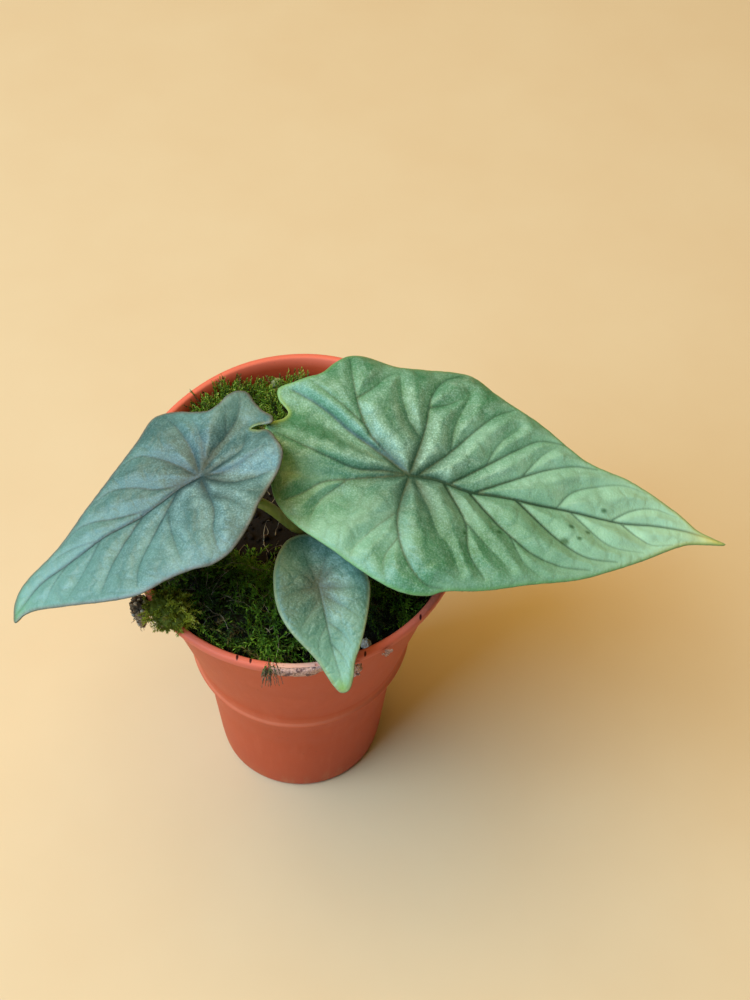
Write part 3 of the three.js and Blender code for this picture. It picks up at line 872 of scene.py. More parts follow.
def blade_marks(name, flat, loop, vein_dark_and_shade, nearest, net):
    """Distance to the margin, and what the finish needs to know about each point of a blade."""
    leaf = LEAVES[name]
    x, y = flat.T
    margin = distance_to(np.vstack([loop, loop[:1]]), flat)[0]
    from_middle = np.hypot(x, y)
    tip_x, tip_y = leaf["outline"][0]
    from_tip = np.hypot(x - tip_x, y - tip_y)
    tip_margin = 0.8 * fade(margin, 0.8) * fade(from_tip, 0.28 * leaf["reach"])
    lip_x, lip_y, lip_reach = LIPS[name]
    dots = np.zeros(len(flat))
    for dot_x, dot_y, size in DOTS if name == "large" else ():
        away = np.hypot((x - dot_x) * 0.7, y - dot_y)
        dots = np.maximum(dots, np.clip(1.6 - 1.2 * away / size, 0, 1))
    # Lighter on each blade's upper half, where the light falls: painted light.
    upper_half_lit = np.clip(0.6 + 0.15 * y, 0.25, 1)
    marks = {
        "vein": vein_dark_and_shade, "net": net, "dots": dots, "edge": fade(margin, 0.55),
        # Paler towards the tip: partly younger tissue, partly painted sheen where the tip shines.
        "young": np.clip(1.3 * x / leaf["reach"] - 0.3, 0, 1),
        "tip": np.maximum(fade(from_tip, 0.09 * leaf["reach"]), tip_margin),
        "lip": fade(margin, 0.7) * fade(np.hypot(x - lip_x, y - lip_y), lip_reach),
        # Darker centre: partly the leaf's own tone, partly painted shade in the dish round the junction.
        "heart": fade(from_middle, 0.5 * leaf["half_width"]),
        # Silvery beside the veins near the middle: partly its own colour, partly painted highlight.
        "silver": upper_half_lit * fade(nearest - 3.2, 2) * np.exp(-from_middle / leaf["half_width"]),
    }
    return margin, marks


print("dark dots on the large leaf:", len(DOTS))

# %% Lift and thicken a blade
BLADE_THICKNESS = 0.55
PUFF = {"large": 1.3, "left": 0.6, "small": 0.3}
NET_SIZE = {"large": 5.5, "left": 4.2, "small": 3.0}
MARGIN_UNDER = 0.35


def leaf_turn(name):
    leaf = LEAVES[name]
    turns = [math.radians(leaf[turn]) for turn in ("heading", "dip", "bank")]
    heading, dip, bank = (Matrix.Rotation(angle, 3, axis) for angle, axis in zip(turns, "ZYX"))
    return np.array(heading @ dip @ bank)


def thickened(upper, loop):
    """Upper and lower points of a sheet, and a row half way between them, a little outside."""
    lower = upper - [0, 0, BLADE_THICKNESS]
    outward = loop - np.roll(loop, 1, axis=0) + np.roll(loop, -1, axis=0) - loop
    outward = np.c_[outward[:, 1], -outward[:, 0]]
    outward /= np.linalg.norm(outward, axis=1)[:, None]
    rounded = (upper[:len(loop)] + lower[:len(loop)]) / 2
    rounded[:, :2] += outward * BLADE_THICKNESS * 0.45
    return np.vstack([upper, lower, rounded])


def make_blade(name, finish):
    leaf = LEAVES[name]
    flat, triangles, loop = lay_out(name)
    x, y = flat.T
    groove, vein_dark_and_shade, nearest = vein_relief(name, flat)
    net = fine_net(flat, NET_SIZE[name], len(name) * 3.1) * np.clip(nearest / 2 - 0.4, 0, 1)
    margin, marks = blade_marks(name, flat, loop, vein_dark_and_shade, nearest, net)
    calm = 1 - 0.45 * fade(np.hypot(x, y), 3)
    puff = PUFF[name] * (1 - fade(nearest, 3.4)) * (1 - fade(margin, 3.5))
    height = blade_height(leaf, x, y) - groove * calm + puff - 0.13 * net
    wrinkle = 0.4 * cloud(np.c_[flat, 0 * x], 14, 3.0) + 0.22 * cloud(np.c_[flat, 0 * x], 4.2, 6.0)
    height += wrinkle * (1 - fade(margin, 3))
    height += 0.6 * marks["lip"] - 0.3 * fade(margin, 0.7)
    points = thickened(np.c_[flat, height], loop) @ leaf_turn(name).T + np.array(leaf["junction"])
    total, count = len(flat), len(loop)
    faces = [tuple(f) for f in triangles.tolist()] + [tuple(f[::-1] + total) for f in triangles]
    for i in range(count):
        j = (i + 1) % count
        faces.append((j, i, 2 * total + i, 2 * total + j))
        faces.append((2 * total + j, 2 * total + i, total + i, total + j))
    marks = {mark: np.r_[values, values, values[:count]] for mark, values in marks.items()}
    marks["under"] = np.r_[np.zeros(total), np.ones(total), np.full(count, MARGIN_UNDER)]
    make_piece(f"blade_{name}_skin", points, faces, finish, [f"blade_{name}"], marks)


print("the large blade's own upward way:", leaf_turn("large")[:, 2].round(2))

# %% [markdown]
# ## Leaf blades: the skin
# The skin is waxy and silvery: tiny raised cells catch the light, so it glitters a little when
# seen close. Light is also painted into its colour: pale flecks and a painted highlight beside
# the veins, more on each blade's upper half, painted shade in the vein valleys and round the
# stalk's junction, and a painted sheen that pales each blade towards its tip. Beneath that the
# sheet is green on the large leaf, blue-grey on the left one and grey-green on the small one.
# The veins are darker, and the very tips are yellow-green. The margin is paler, or brownish on
# the left leaf. The underside is dull and pale.

# %% Leaf finishes
SKINS = {
    "large": {
        "sheet": (58, 124, 86), "young": (188, 248, 226), "silver": (172, 222, 208),
        "heart": (66, 108, 96), "vein": (20, 56, 40), "margin": (104, 160, 98),
        "tip": (238, 242, 150), "lip": (150, 188, 106), "under": (128, 156, 112),
        "dots": (34, 84, 40),
    },
    "left": {
        "sheet": (58, 98, 98), "young": (106, 158, 152), "silver": (142, 186, 192),
        "heart": (32, 60, 64), "vein": (24, 46, 52), "margin": (104, 96, 92),
        "tip": (96, 150, 112), "lip": (116, 146, 96), "under": (120, 140, 118),
        "dots": (60, 90, 90),
    },
    "small": {
        "sheet": (54, 100, 84), "young": (122, 182, 164), "silver": (144, 188, 180),
        "heart": (34, 64, 60), "vein": (28, 54, 48), "margin": (140, 160, 122),
        "tip": (130, 178, 96), "lip": (178, 200, 112), "under": (122, 146, 118),
        "dots": (60, 100, 80),
    },
}


def leaf_skin(name):
    colours = SKINS[name]
    skin = Finish(f"leaf_skin_{name}", IOR=1.45, Coat_Roughness=0.3, Specular_IOR_Level=0.6,
                  Specular_Tint=(0.75, 0.94, 1, 1))
    fleck = skin.noise(0.5, 3, 0.7)
    patch = skin.noise(3.5, 4, 0.6)
    under = skin.mark("under")
    # Pale silvery flecks and patches: partly the leaf's own colour, partly painted glitter and highlight.
    silver = skin.between(fleck, 0.4, 0.75) * 0.4 + skin.between(patch, 0.45, 0.75) * 0.2
    silver = silver * (0.75 + 1.3 * skin.mark("silver")) + 0.35 * skin.mark("silver")
    shares = [
        # The paler tip-ward share is partly painted sheen.
        ("young", skin.between(skin.noise(24, 1), 0.45, 0.7) * 0.3), ("young", skin.mark("young")),
        # The darker centre share is partly painted shade in the blade's dish.
        ("heart", skin.mark("heart") * 0.8), ("silver", silver),
        # The vein share carries painted shade in the vein valleys and round the junction.
        ("vein", skin.between(skin.mark("vein"), 0.05, 0.95) * 0.92), ("vein", skin.mark("net") * 0.14),
        ("tip", skin.mark("tip")), ("margin", skin.mark("edge") * 0.75), ("lip", skin.mark("lip")),
        ("dots", skin.mark("dots") * 0.8), ("under", under),
    ]
    colour = skin.layered(colours["sheet"], *[(colours[part], share) for part, share in shares])
    skin.surface(colour, 0.34 + 0.16 * fleck + 0.2 * under, (0.2 - 0.14 * fleck) * (1 - under))
    skin.bump(skin.cells(0.75) * 0.4 + fleck * 0.7 + patch * 0.7, 0.13)
    return skin


for name, slot in (("large", "leaf_green"), ("left", "leaf_blue"), ("small", "leaf_grey")):
    make_blade(name, leaf_skin(name))

# %% [markdown]
# ## Leaf stalks and corm
# Each blade hangs from a fleshy stalk that grows out of a corm, the short thick stem at the soil
# line. The stalk is widest at its foot, where it once wrapped the younger leaf, and it has a
# shallow channel along its front. A tube swept along a curve makes it, with the channel and the
# wrap worked into each ring of points.

# %% Sweep a tube
def swept(line, radii, sides, shape=None):
    """A closed tube along a line. shape(part, angle) scales the radius round each ring."""
    line = np.asarray(line, float)
    tangent = np.gradient(line, axis=0)
    tangent /= np.linalg.norm(tangent, axis=1)[:, None]
    across = np.cross(tangent[0], [0.31, 0.95, 0.05])
    rings = []
    angles = 2 * np.pi * np.arange(sides) / sides
    for i, (point, ahead) in enumerate(zip(line, tangent)):
        across = across - (across @ ahead) * ahead
        across /= np.linalg.norm(across)
        other = np.cross(ahead, across)
        radius = radii[i] * (shape(i / (len(line) - 1), angles) if shape else np.ones(sides))
        ring = np.outer(np.cos(angles) * radius, across) + np.outer(np.sin(angles) * radius, other)
        rings.append(point + ring)
    return np.vstack(rings), tube_faces(len(line), sides)


print("a swept tube has", len(swept([(0, 0, 0), (0, 0, 1)], [1, 1], 5)[0]), "points on two rings")

# %% Stalks
STALKS = {
    "large": {"foot": (8.5, -5.6), "way": [(14, -9, 136), (23, -14, 153)], "radii": (2.1, 1.5)},
    "left": {"foot": (3.4, -5.8), "way": [(1.5, -15, 136), (-0.5, -23.5, 149), (-9, -26.5, 162)],
             "radii": (2.1, 1.4)},
    "small": {"foot": (6.1, -10.2), "way": [(7, -24, 131), (8, -37, 140)], "radii": (1.8, 1.2)},
}
STALK_SIDES = 28
CORM_TOP = 119
BELOW_BLADE = 0.95


def stalk_section(part, angles):
    channel = 0.16 * fade(np.mod(angles - 1.2, 2 * np.pi) - np.pi, 0.45)
    wrap = 0.2 * fade(part, 0.18) * np.cos(angles)
    ridges = 0.018 * np.cos(9 * angles)
    return 1 - channel + wrap + ridges


def make_stalk(name, finish):
    stalk = STALKS[name]
    foot = np.array([*stalk["foot"], CORM_TOP + 0.3])
    joint = np.array(LEAVES[name]["junction"], float)
    face_up = leaf_turn(name) @ np.array([0, 0, 1])
    way = [foot, foot + [0, 0, 4], *stalk["way"], joint - face_up * 6, joint - face_up * BELOW_BLADE]
    line = along(smooth_line(way, False), 0.7)
    part = np.linspace(0, 1, len(line))
    first, last = stalk["radii"]
    radii = first + (last - first) * part + 0.5 * fade(part, 0.07)
    radii += 0.45 * fade(1 - part, 0.03)
    points, faces = swept(line, radii, STALK_SIDES, stalk_section)
    marks = {"height": np.repeat(part, STALK_SIDES)}
    make_piece(f"stalk_{name}", points, faces, finish, [f"petiole_{name}"], marks)


def stalk_flesh():
    flesh = Finish("stalk_flesh", Roughness=0.42, Coat_Weight=0.12, Coat_Roughness=0.3)
    streak = flesh.noise(1.2, 4, where=flesh.stretched(1, 1, 0.15))
    height = flesh.mark("height")
    spots = flesh.between(flesh.noise(0.8, 2), 0.62, 0.7) * (1 - height)
    flesh.surface(flesh.layered(
        (132, 120, 92),
        ((140, 172, 98), flesh.between(height, 0.02, 0.3)),
        ((174, 200, 132), flesh.between(streak, 0.45, 0.75) * 0.5),
        ((104, 92, 70), spots * 0.5),
    ))
    flesh.bump(streak, 0.2)
    return flesh


flesh = stalk_flesh()
for name in STALKS:
    make_stalk(name, flesh)

# %% Corm
CORM_MIDDLE = (6, -7)
CORM_OUTLINE = [(0.3, 96.3), (4, 96), (6.5, 102), (7, 108), (6.2, 115), (5.8, 118), (4.6, 119),
                (0.3, 119.1)]
CORM_SIDES = 60


def make_corm():
    outline = softened(CORM_OUTLINE, 0.5, 2)
    rings = turned(outline, CORM_SIDES)
    scars = 0.25 * np.sin(rings[:, 2] * 2.2 + np.arctan2(rings[:, 1], rings[:, 0]))
    lumps = 0.35 * cloud(rings, 2.5, 9.0) + scars
    radius = np.maximum(np.hypot(rings[:, 0], rings[:, 1]), 0.01)
    rings[:, :2] *= (1 + lumps * np.clip(radius / 4, 0, 1) / radius)[:, None]
    rings[:, :2] += CORM_MIDDLE
    skin = Finish("corm_skin", Roughness=0.75)
    fibre = skin.noise(0.6, 5, 0.65)
    colour = skin.mix((74, 52, 36), (140, 112, 78), skin.between(fibre, 0.4, 0.68))
    skin.surface(skin.mix(colour, (96, 108, 60), skin.noise(4) * 0.4))
    skin.bump(fibre, 0.5)
    make_piece("corm_stub", rings, tube_faces(len(outline), CORM_SIDES), skin, ["corm"])


make_corm()

# %% [markdown]
# ## Soil
# The mix is nearly black peat: a rough bed with loose crumbs, bits of bark and fine dead roots
# on it. The bed is made of fine rings of points, pushed up and down by noise of three sizes.
# Crumbs are small stones with jittered corners, half sunk in the bed. One seeded draw scatters
# them and all that follows, so every run gives the same result.

# %% Soil bed
SOIL_TOP = 117
SOIL_RINGS = 66
SOIL_SIDES = 270
SOIL_GAP = 0.35
SOIL_LEVELS = (112, 87, 69, 63, 60.5, 58, 55, 50, 8, POT_BASE + 0.4)


def inner_radius(height):
    """Radius of the pot's inside at a height."""
    rising = POT_INSIDE[::-1]
    return np.interp(height, [h for _, h in rising], [r for r, _ in rising])


def soil_height(spots):
    """Height of the soil bed at flat spots."""
    flat = np.c_[spots, np.zeros(len(spots))]
    radius = np.hypot(*spots.T)
    bowl = np.interp(radius, [0, 20, 38, 52], [SOIL_TOP, SOIL_TOP, SOIL_TOP - 1, SOIL_TOP + 0.5])
    rough = 1.1 * cloud(flat, 7, 1.0) + 0.6 * cloud(flat, 2.6, 4.0) + 0.3 * cloud(flat, 1.1, 7.0)
    return bowl - 0.5 + rough


def soil_bed():
    """The bed's top, ring by ring outwards, and its side, level by level down the pot."""
    radii = np.r_[0.02, np.linspace(0.25, 1, SOIL_RINGS) ** 0.9]
    angles = 2 * np.pi * np.arange(SOIL_SIDES) / SOIL_SIDES
    reach = inner_radius(SOIL_TOP) - SOIL_GAP
    flat = reach * np.stack([np.outer(radii, np.cos(angles)), np.outer(radii, np.sin(angles))], -1)
    flat = flat.reshape(-1, 2)
    top = np.c_[flat, soil_height(flat)]
    side = turned([(inner_radius(height) - SOIL_GAP, height) for height in SOIL_LEVELS], SOIL_SIDES)
    faces = [face[::-1] for face in tube_faces(len(radii) + len(SOIL_LEVELS), SOIL_SIDES)]
    return pushed_oval(np.vstack([top, side])), faces, {"tone": 0.25, "wood": 0.0}


print("soil reaches", round(float(inner_radius(SOIL_TOP)) - SOIL_GAP, 1), "mm out from the middle")

# %% Crumbs, bark and their finish
SOIL_BITS = [
    {"count": 1000, "sizes": (0.35, 0.9), "detail": 1, "wood": 0.0},
    {"count": 220, "sizes": (0.8, 1.5), "detail": 2, "wood": 0.0},
    {"count": 34, "sizes": (0.8, 1.4), "detail": 2, "wood": 1.0},
]
draw = np.random.default_rng(27)


def ball(detail):
    """Corners and triangles of a ball of radius 1."""
    maker = bmesh.new()
    bmesh.ops.create_icosphere(maker, subdivisions=detail, radius=1)
    maker.verts.index_update()
    corners = np.array([corner.co for corner in maker.verts])
    faces = [tuple(corner.index for corner in face.verts) for face in maker.faces]
    maker.free()
    return corners, faces


def rocks(places, sizes, detail=1, stretch=0.5):
    """Many small closed stones in one mesh, each with its own jittered corners and turn."""
    corners, shell = ball(detail)
    count = len(places)
    shape = corners[None] * (1 + draw.normal(0, 0.17, (count, len(corners), 1)))
    shape = shape * draw.uniform(1 - stretch, 1 + stretch, (count, 1, 3))
    turns = np.array([np.array(Euler(draw.uniform(0, 6.28, 3)).to_matrix()) for _ in range(count)])
    shape = np.einsum("nij,npj->npi", turns, shape) * np.reshape(sizes, (-1, 1, 1))
    points = (shape + np.asarray(places)[:, None]).reshape(-1, 3)
    faces = (np.array(shell)[None] + len(corners) * np.arange(count)[:, None, None]).reshape(-1, 3)
    return points, faces, len(corners)


def scattered(count, reach):
    """Random flat spots inside a circle."""
    radius = reach * np.sqrt(draw.uniform(0, 1, count))
    angle = draw.uniform(0, 2 * np.pi, count)
    return np.c_[radius * np.cos(angle), radius * np.sin(angle)]


def soil_finish():
    peat = Finish("damp_peat", Specular_IOR_Level=0.3)
    grain = peat.noise(0.9, 5, 0.7)
    pale = peat.between(grain, 0.42, 0.78) * 0.7 + peat.mark("tone") * 0.3
    wood = peat.mark("wood") * peat.between(grain, 0.35, 0.65)
    peat.surface(peat.layered((9, 7, 6), ((38, 29, 22), pale), ((84, 62, 42), wood)), 0.75 + 0.2 * grain)
    peat.bump(grain, 0.5)
    return peat


def make_soil():
    parts = [soil_bed()]
    for bits in SOIL_BITS:
        spots = scattered(bits["count"], inner_radius(SOIL_TOP) - 2)
        sizes = draw.uniform(*bits["sizes"], bits["count"])
        places = pushed_oval(np.c_[spots, soil_height(spots) + 0.25 * sizes])
        points, faces, corners = rocks(places, sizes, bits["detail"])
        tone = np.repeat(draw.uniform(0, 1, bits["count"]), corners)
        parts.append((points, faces, {"tone": tone, "wood": bits["wood"]}))
    points, faces, marks = joined(parts)
    make_piece("potting_soil", points, faces, soil_finish(), ["soil"], marks)


make_soil()

# %% [markdown]
# ## Moss
# Two kinds of moss grow here. At the back are upright star shoots, yellow-green with pale tips.
# At the front lie long dark feathery strands. Both are stems with small pointed leaflets, so one
# template serves: a bent stem with leaflets round it. Each shoot bends along its own arc. Hair
# systems would be quicker to set up, but they don't export as a mesh, so the shoots are real.

# %% One shoot, many times
STEM_SIDES = 3
STEM_RINGS = 5
LEAFLET_TURN = 2.4


def shoot_template(leaflets, length, spread, width, stem):
    """A shoot before bending. A point is its part along the stem, then offsets across it."""
    points, tips = [], []
    for ring in range(STEM_RINGS):
        part = ring / (STEM_RINGS - 1)
        for side in range(STEM_SIDES):
            turn = 2 * np.pi * side / STEM_SIDES
            thick = stem * (1 - 0.75 * part)
            points.append((part, thick * math.cos(turn), thick * math.sin(turn), 0))
            tips.append(0.1 + 0.3 * part)
    faces = tube_faces(STEM_RINGS, STEM_SIDES)
    for i in range(leaflets):
        part = 0.12 + 0.88 * i / (leaflets - 1)
        turn = LEAFLET_TURN * i
        size = length * (0.55 + 0.9 * part * (1.15 - part))
        lean = spread * (1 - 0.65 * part ** 3)
        out = np.array([math.cos(turn) * math.sin(lean), math.sin(turn) * math.sin(lean), math.cos(lean)])
        side = np.array([-math.sin(turn), math.cos(turn), 0])
        thick = np.cross(out, side)
        start = len(points)
        spots = [0 * out, out * size, out * size * 0.4 + side * width, out * size * 0.4 - side * width,
                 out * size * 0.45 + thick * width * 0.3, out * size * 0.35 - thick * width * 0.3]
        for spot, tip in zip(spots, (0.15, 1.0, 0.5, 0.5, 0.5, 0.4)):
            points.append((part, *spot))
            tips.append(tip * (0.55 + 0.45 * part))
        for a, b in ((2, 4), (4, 3), (3, 5), (5, 2)):
            faces.append((start, start + b, start + a))
            faces.append((start + 1, start + a, start + b))
    return np.array(points, float), faces, np.array(tips)


def grown(template, starts, directions, bends, lengths, curls):
    """Shoots of a template that start at points and arc from a direction towards a bend."""
    shape, faces, tips = template
    count = len(starts)
    ahead = directions / np.linalg.norm(directions, axis=1)[:, None]
    toward = bends - (bends * ahead).sum(axis=1)[:, None] * ahead
    toward /= np.maximum(np.linalg.norm(toward, axis=1), 1e-6)[:, None]
    other = np.cross(ahead, toward)
    turn = draw.uniform(0, 2 * np.pi, count)
    part = shape[None, :, 0] * curls[:, None]
    run = lengths[:, None] / curls[:, None]
    centre = starts[:, None] + (run * np.sin(part))[..., None] * ahead[:, None]
    centre = centre + (run * (1 - np.cos(part)))[..., None] * toward[:, None]
    tangent = np.cos(part)[..., None] * ahead[:, None] + np.sin(part)[..., None] * toward[:, None]
    normal = np.cos(part)[..., None] * toward[:, None] - np.sin(part)[..., None] * ahead[:, None]
    u = shape[None, :, 1] * np.cos(turn)[:, None] - shape[None, :, 2] * np.sin(turn)[:, None]
    v = shape[None, :, 1] * np.sin(turn)[:, None] + shape[None, :, 2] * np.cos(turn)[:, None]
    w = np.broadcast_to(shape[None, :, 3], u.shape)
    points = centre + u[..., None] * normal + v[..., None] * other[:, None] + w[..., None] * tangent
    firsts = range(0, count * len(shape), len(shape))
    shells = [tuple(first + k for k in face) for first in firsts for face in faces]
    tone, old = (np.repeat(draw.uniform(0, 1, count), len(shape)) for _ in range(2))
    return points.reshape(-1, 3), shells, {"tip": np.tile(tips, count), "tone": tone, "old": old}


STAR_SHOOT = shoot_template(leaflets=16, length=1.5, spread=0.85, width=0.24, stem=0.15)
print("a star shoot has", len(STAR_SHOOT[0]), "points and", len(STAR_SHOOT[1]), "faces")

# %% Cushions for the moss to grow on
LUMPS = {
    "moss_back_left": ((-26, 41, 118), (17, 12, 10), 31),
    "moss_back_middle": ((-5, 39.5, 118), (14, 19, 11.5), 0),
    "moss_front_left": ((-20, -36, 118), (30, 18, 13), 148),
    "moss_front_right": ((31, -32, 117), (10, 8, 8), 40),
    "moss_overhang": ((-35.5, -46, 132.5), (8, 6, 4), 137),
    "root_clump": ((-45.1, -41.7, 125.5), (3.6, 3.2, 7.5), 137),
}
OUTSIDE = "moss_overhang"


def lump(name, shrink, detail=5, bumps=0.1):
    """Points, outward directions and faces of a lumpy ellipsoid in the model's place."""
    at, half, degrees = LUMPS[name]
    unit, faces = ball(detail)
    swell = 1 + bumps * cloud(unit * 10, 3.2, len(name)) + 0.5 * bumps * cloud(unit * 10, 1.3, 5)
    turn = np.array(Matrix.Rotation(math.radians(degrees), 3, "Z"))
    half = np.array(half) * shrink
    points = (unit * swell[:, None] * half) @ turn.T + np.array(at)
    outward = (unit / half) @ turn.T
    outward /= np.linalg.norm(outward, axis=1)[:, None]
    return points, outward, faces


def kept_inside(points, gap):
    """Points pulled back inside the pot's wall where they are lower than its rim."""
    inside = unpushed(points)
    radius = np.hypot(inside[:, 0], inside[:, 1])
    most = inner_radius(np.minimum(inside[:, 2], RIM_HEIGHT - 1)) - gap
    low = (inside[:, 2] < RIM_HEIGHT) & (radius > most)
    inside[:, :2] *= np.where(low, most / np.maximum(radius, 0.01), 1)[:, None]
    return pushed_oval(inside)


def sown(name, count, shrink, bumps):
    """A cushion as a part, random places on it above the soil, and the way outward at each."""
    points, outward, faces = lump(name, shrink, bumps=bumps)
    points = points if name == OUTSIDE else kept_inside(points, 0.8)
    chosen = draw.choice(np.flatnonzero(points[:, 2] > SOIL_TOP + 0.3), count)
    starts = points[chosen] + draw.normal(0, 0.4, (count, 3))
    return (points, faces, {"tip": 0.0, "tone": 0.0, "old": 0.0}), starts, outward[chosen]


def make_moss(name, kind, cushion, shoots, finish):
    """One piece out of a cushion and its shoots, inside the pot if it belongs there."""
    points, shells, marks = shoots
    points = points if name == OUTSIDE else kept_inside(points, 0.4)
    points, faces, marks = joined([cushion, (points, shells, marks)])
    make_piece(f"{name}_{kind}", points, faces, finish, [name], marks, False)


print("cushions:", ", ".join(LUMPS))

# %% Moss colours
def moss_finish(name, deep, middle, pale):
    moss = Finish(name, Specular_IOR_Level=0.3)
    tip, tone = moss.mark("tip"), moss.mark("tone")
    light = tip * 0.55 + tone * 0.6 + moss.noise(6, 3) * 0.2
    moss.surface(moss.layered(
        deep,
        (middle, moss.between(light, 0.3, 0.85)),
        (pale, moss.between(tip * 0.8 + 0.5 * tone, 0.75, 1.2) * 0.8),
        ((128, 112, 74), moss.between(moss.mark("old"), 0.92, 0.97) * 0.7),
        ((100, 82, 82), moss.mark("dry") * 0.85),
    ), 0.5 + 0.3 * moss.noise(0.8))
    moss.bump(moss.noise(0.4, 3), 0.1)
    return moss


bright = moss_finish("moss_bright", (26, 46, 8), (92, 136, 24), (206, 222, 120))
dark = moss_finish("moss_dark", (10, 17, 7), (86, 136, 30), (176, 206, 80))
# The overhang strands get lighter colours than the front strands of the same kind: painted light.
painted_sunlit_moss = moss_finish("moss_overhang", (92, 104, 26), (178, 192, 58), (230, 232, 140))
print("moss finishes:", [moss.material.name for moss in (bright, dark, painted_sunlit_moss)])

# %% Star moss at the back
UPRIGHT = 0.86
STAR_LENGTH = (4, 9.5)
STAR_CURL = (0.2, 1.1)


def star_moss(name, count):
    cushion, starts, outward = sown(name, count, 0.86, 0.1)
    ways = outward * (1 - UPRIGHT) + np.array([0, 0, UPRIGHT]) + draw.normal(0, 0.26, (count, 3))
    bends = outward + draw.normal(0, 0.6, (count, 3)) - np.array([0, 0, 0.6])
    lengths = draw.uniform(*STAR_LENGTH, count)
    curls = draw.uniform(*STAR_CURL, count)
    shoots = grown(STAR_SHOOT, starts, ways, bends, lengths, curls)
    make_moss(name, "shoots", cushion, shoots, bright)


star_moss("moss_back_left", 640)
star_moss("moss_back_middle", 720)

# %% Feather moss at the front
FEATHER_CURL = (0.7, 1.9)


def feather_moss(name, count, finish, length, size=1.0):
    cushion, starts, outward = sown(name, count, 0.84, 0.16)
    sideways = draw.normal(0, 1, (count, 3))
    ways = outward * 0.55 + sideways * 0.5 + np.array([0, 0, 0.55])
    bends = sideways - np.array([0, 0, 1.1])
    tufts = np.clip(0.5 + 1.5 * cloud(starts, 11, 2.0) + 0.6 * cloud(starts, 4, 6.0), 0, 1)
    lengths = draw.uniform(*length, count) * (0.6 + 0.5 * tufts)
    curls = draw.uniform(*FEATHER_CURL, count)
    template = shoot_template(17, 1.5 * size, 1.0, 0.2 * size, 0.13 * size)
    shoots, shells, marks = grown(template, starts, ways, bends, lengths, curls)
    marks["tone"] = 0.25 * marks["tone"] + np.repeat(0.85 * tufts ** 1.5, len(template[0]))
    make_moss(name, "strands", cushion, (shoots, shells, marks), finish)


feather_moss("moss_front_left", 820, dark, (7, 15), 1.3)
feather_moss("moss_front_right", 200, dark, (6, 14))
feather_moss("moss_overhang", 150, painted_sunlit_moss, (2, 4))

# %% [markdown]
# ## Tuft on the rim
# Over the front rim hangs a small tuft of moss that has dried grey-brown at its ends. Its shoots
# start inside the pot, arc over the rim and hang down outside, so each one needs a strong bend.

# %% Tuft over the front rim
TUFT_AROUND = math.radians(-94.6)
TUFT_HALF_WIDTH = math.radians(1.3)
TUFT_SHOOTS = 34
TUFT_LENGTH = (5, 9.5)
TUFT_CURL = (2.0, 2.7)
TUFT_DRY_FROM = 57.5


def rim_tuft(count):
    around = draw.uniform(-1, 1, count) * TUFT_HALF_WIDTH + TUFT_AROUND
    outward = np.c_[np.cos(around), np.sin(around), np.zeros(count)]
    starts = outward * draw.uniform(55, 57, count)[:, None]
    starts = pushed_oval(starts + np.array([0, 0, 1]) * draw.uniform(129, 131, count)[:, None])
    beside = np.c_[-outward[:, 1], outward[:, 0], np.zeros(count)] * draw.normal(0, 0.14, (count, 1))
    ways = outward * 0.65 + beside + np.array([0, 0, 0.85])
    bends = outward * 0.3 + beside - np.array([0, 0, 1])
    lengths = draw.uniform(*TUFT_LENGTH, count)
    curls = draw.uniform(*TUFT_CURL, count)
    template = shoot_template(leaflets=18, length=0.9, spread=0.5, width=0.16, stem=0.15)
    shoots, shells, marks = grown(template, starts, ways, bends, lengths, curls)
    radius = np.hypot(*unpushed(shoots)[:, :2].T)
    marks["dry"] = np.clip((radius - TUFT_DRY_FROM) / 3.5, 0, 1)
    make_piece("moss_rim_tuft", shoots, shells, dark, ["moss_rim_strands"], marks, False)


rim_tuft(TUFT_SHOOTS)

# %% [markdown]
# ## Roots and fibres
# On the left a lump of roots and peat hangs below the moss like a drip. It is a core with grains
# pressed on it and short rootlets round it. Long dry fibres of the same kind also lie across the
# moss and the soil. Each fibre is a thin tube along a wandering line.

# %% Root clump
FIBRE_SIDES = 5
WANDER_STEPS = 14
CLUMP_GRAINS = 420
CLUMP_ROOTLETS = 60


def wander(start, way, length, sag, turns):
    """A wandering line that starts at a point and sinks as it goes."""
    points = [np.array(start, float)]
    way = np.array(way, float)
    for _ in range(WANDER_STEPS):
        way = way + draw.normal(0, turns, 3) - np.array([0, 0, sag])
        way /= np.linalg.norm(way)
        points.append(points[-1] + way * length / WANDER_STEPS)
    return smooth_line(points, False, 2)


def root_finish():
    root = Finish("root_and_peat", Specular_IOR_Level=0.3)
    grain = root.noise(1.0, 5, 0.7)
    tone = root.mark("tone")
    root.surface(root.layered(
        (56, 45, 36),
        ((156, 134, 108), root.between(grain + 0.5 * tone, 0.5, 1.0)),
        ((206, 196, 180), root.between(tone, 0.78, 0.92) * 0.85),
    ), 0.7 + 0.2 * grain)
    root.bump(grain, 0.4)
    return root


